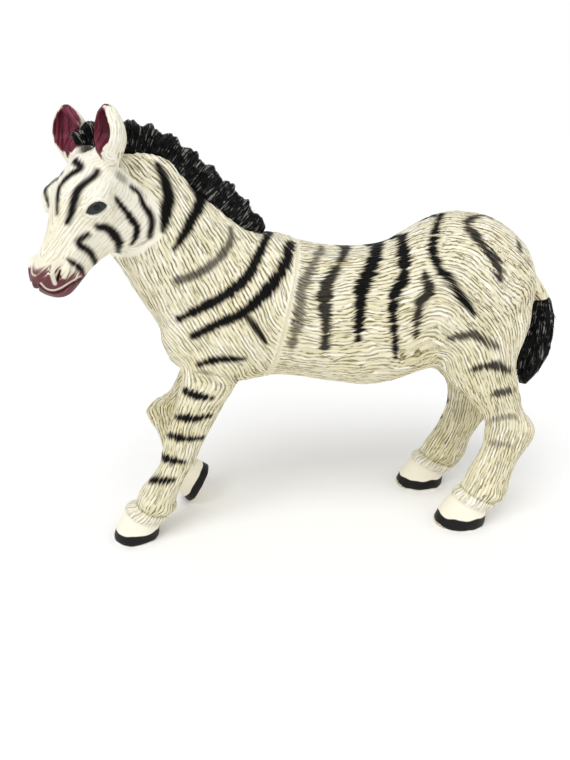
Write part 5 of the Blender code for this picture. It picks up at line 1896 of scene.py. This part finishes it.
# %% [markdown]
# ## Floor and light
# The toy stands on a white sweep. A sun with a wide angle stands for a large soft box at the upper left,
# and the world for the white walls of the studio. Together they light a white surface to about 1, so the
# colours come out as they are written.

# %% Stage and light
floor_mesh = bpy.data.meshes.new("floor")
shape = bmesh.new()
bmesh.ops.create_grid(shape, x_segments=1, y_segments=1, size=4)
shape.to_mesh(floor_mesh)
shape.free()
floor = new_object("floor", floor_mesh)
floor_paint = bpy.data.materials.new("white_card")
floor_paint.use_nodes = True
floor_shader = floor_paint.node_tree.nodes["Principled BSDF"]
floor_shader.inputs["Base Color"].default_value = srgb("#ffffff")
floor_shader.inputs["Roughness"].default_value = 0.9
floor_shader.inputs["Specular IOR Level"].default_value = 0.1
floor_mesh.materials.append(floor_paint)

world = bpy.data.worlds.new("studio")
bpy.context.scene.world = world
tree = bare_tree(world)
rays = add_node(tree, "ShaderNodeLightPath")
seen = add_node(tree, MATH, {
    0: rays.outputs["Is Camera Ray"], 1: rays.outputs["Is Transmission Ray"],
}, operation="MAXIMUM")
strength = add_node(tree, RANGE, {"Value": seen, "To Min": 0.66, "To Max": 1.0})
backdrop = add_node(tree, "ShaderNodeBackground", {"Color": (1, 1, 1, 1), "Strength": strength})
add_node(tree, "ShaderNodeOutputWorld", {"Surface": backdrop})

for name, elevation, azimuth, strength, angle in (("key", 55, -30, 1.35, 40), ("fill", 38, 50, 0.25, 70)):
    lamp = bpy.data.lights.new(name, "SUN")
    lamp.energy = strength
    lamp.angle = math.radians(angle)
    light = bpy.data.objects.new(name, lamp)
    light.rotation_euler = (math.radians(90 - elevation), 0, math.radians(azimuth))
    bpy.context.scene.collection.objects.link(light)
bpy.context.scene.view_settings.view_transform = "Standard"

# %% [markdown]
# ## Put each piece on the body
# Every piece rides on the toy's one body, and the imported solid that it was made from is hidden.

# %% Attach the pieces
for name, piece in skin_pieces.items():
    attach(piece, "root")
    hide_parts(name)
for piece, node_name, slot in (
    (mane, "mane", "black_pvc"), (stem, "tail", "ivory_pvc"), (tuft, "tail", "black_pvc"),
):
    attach(piece, "root")
    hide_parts(node_name)
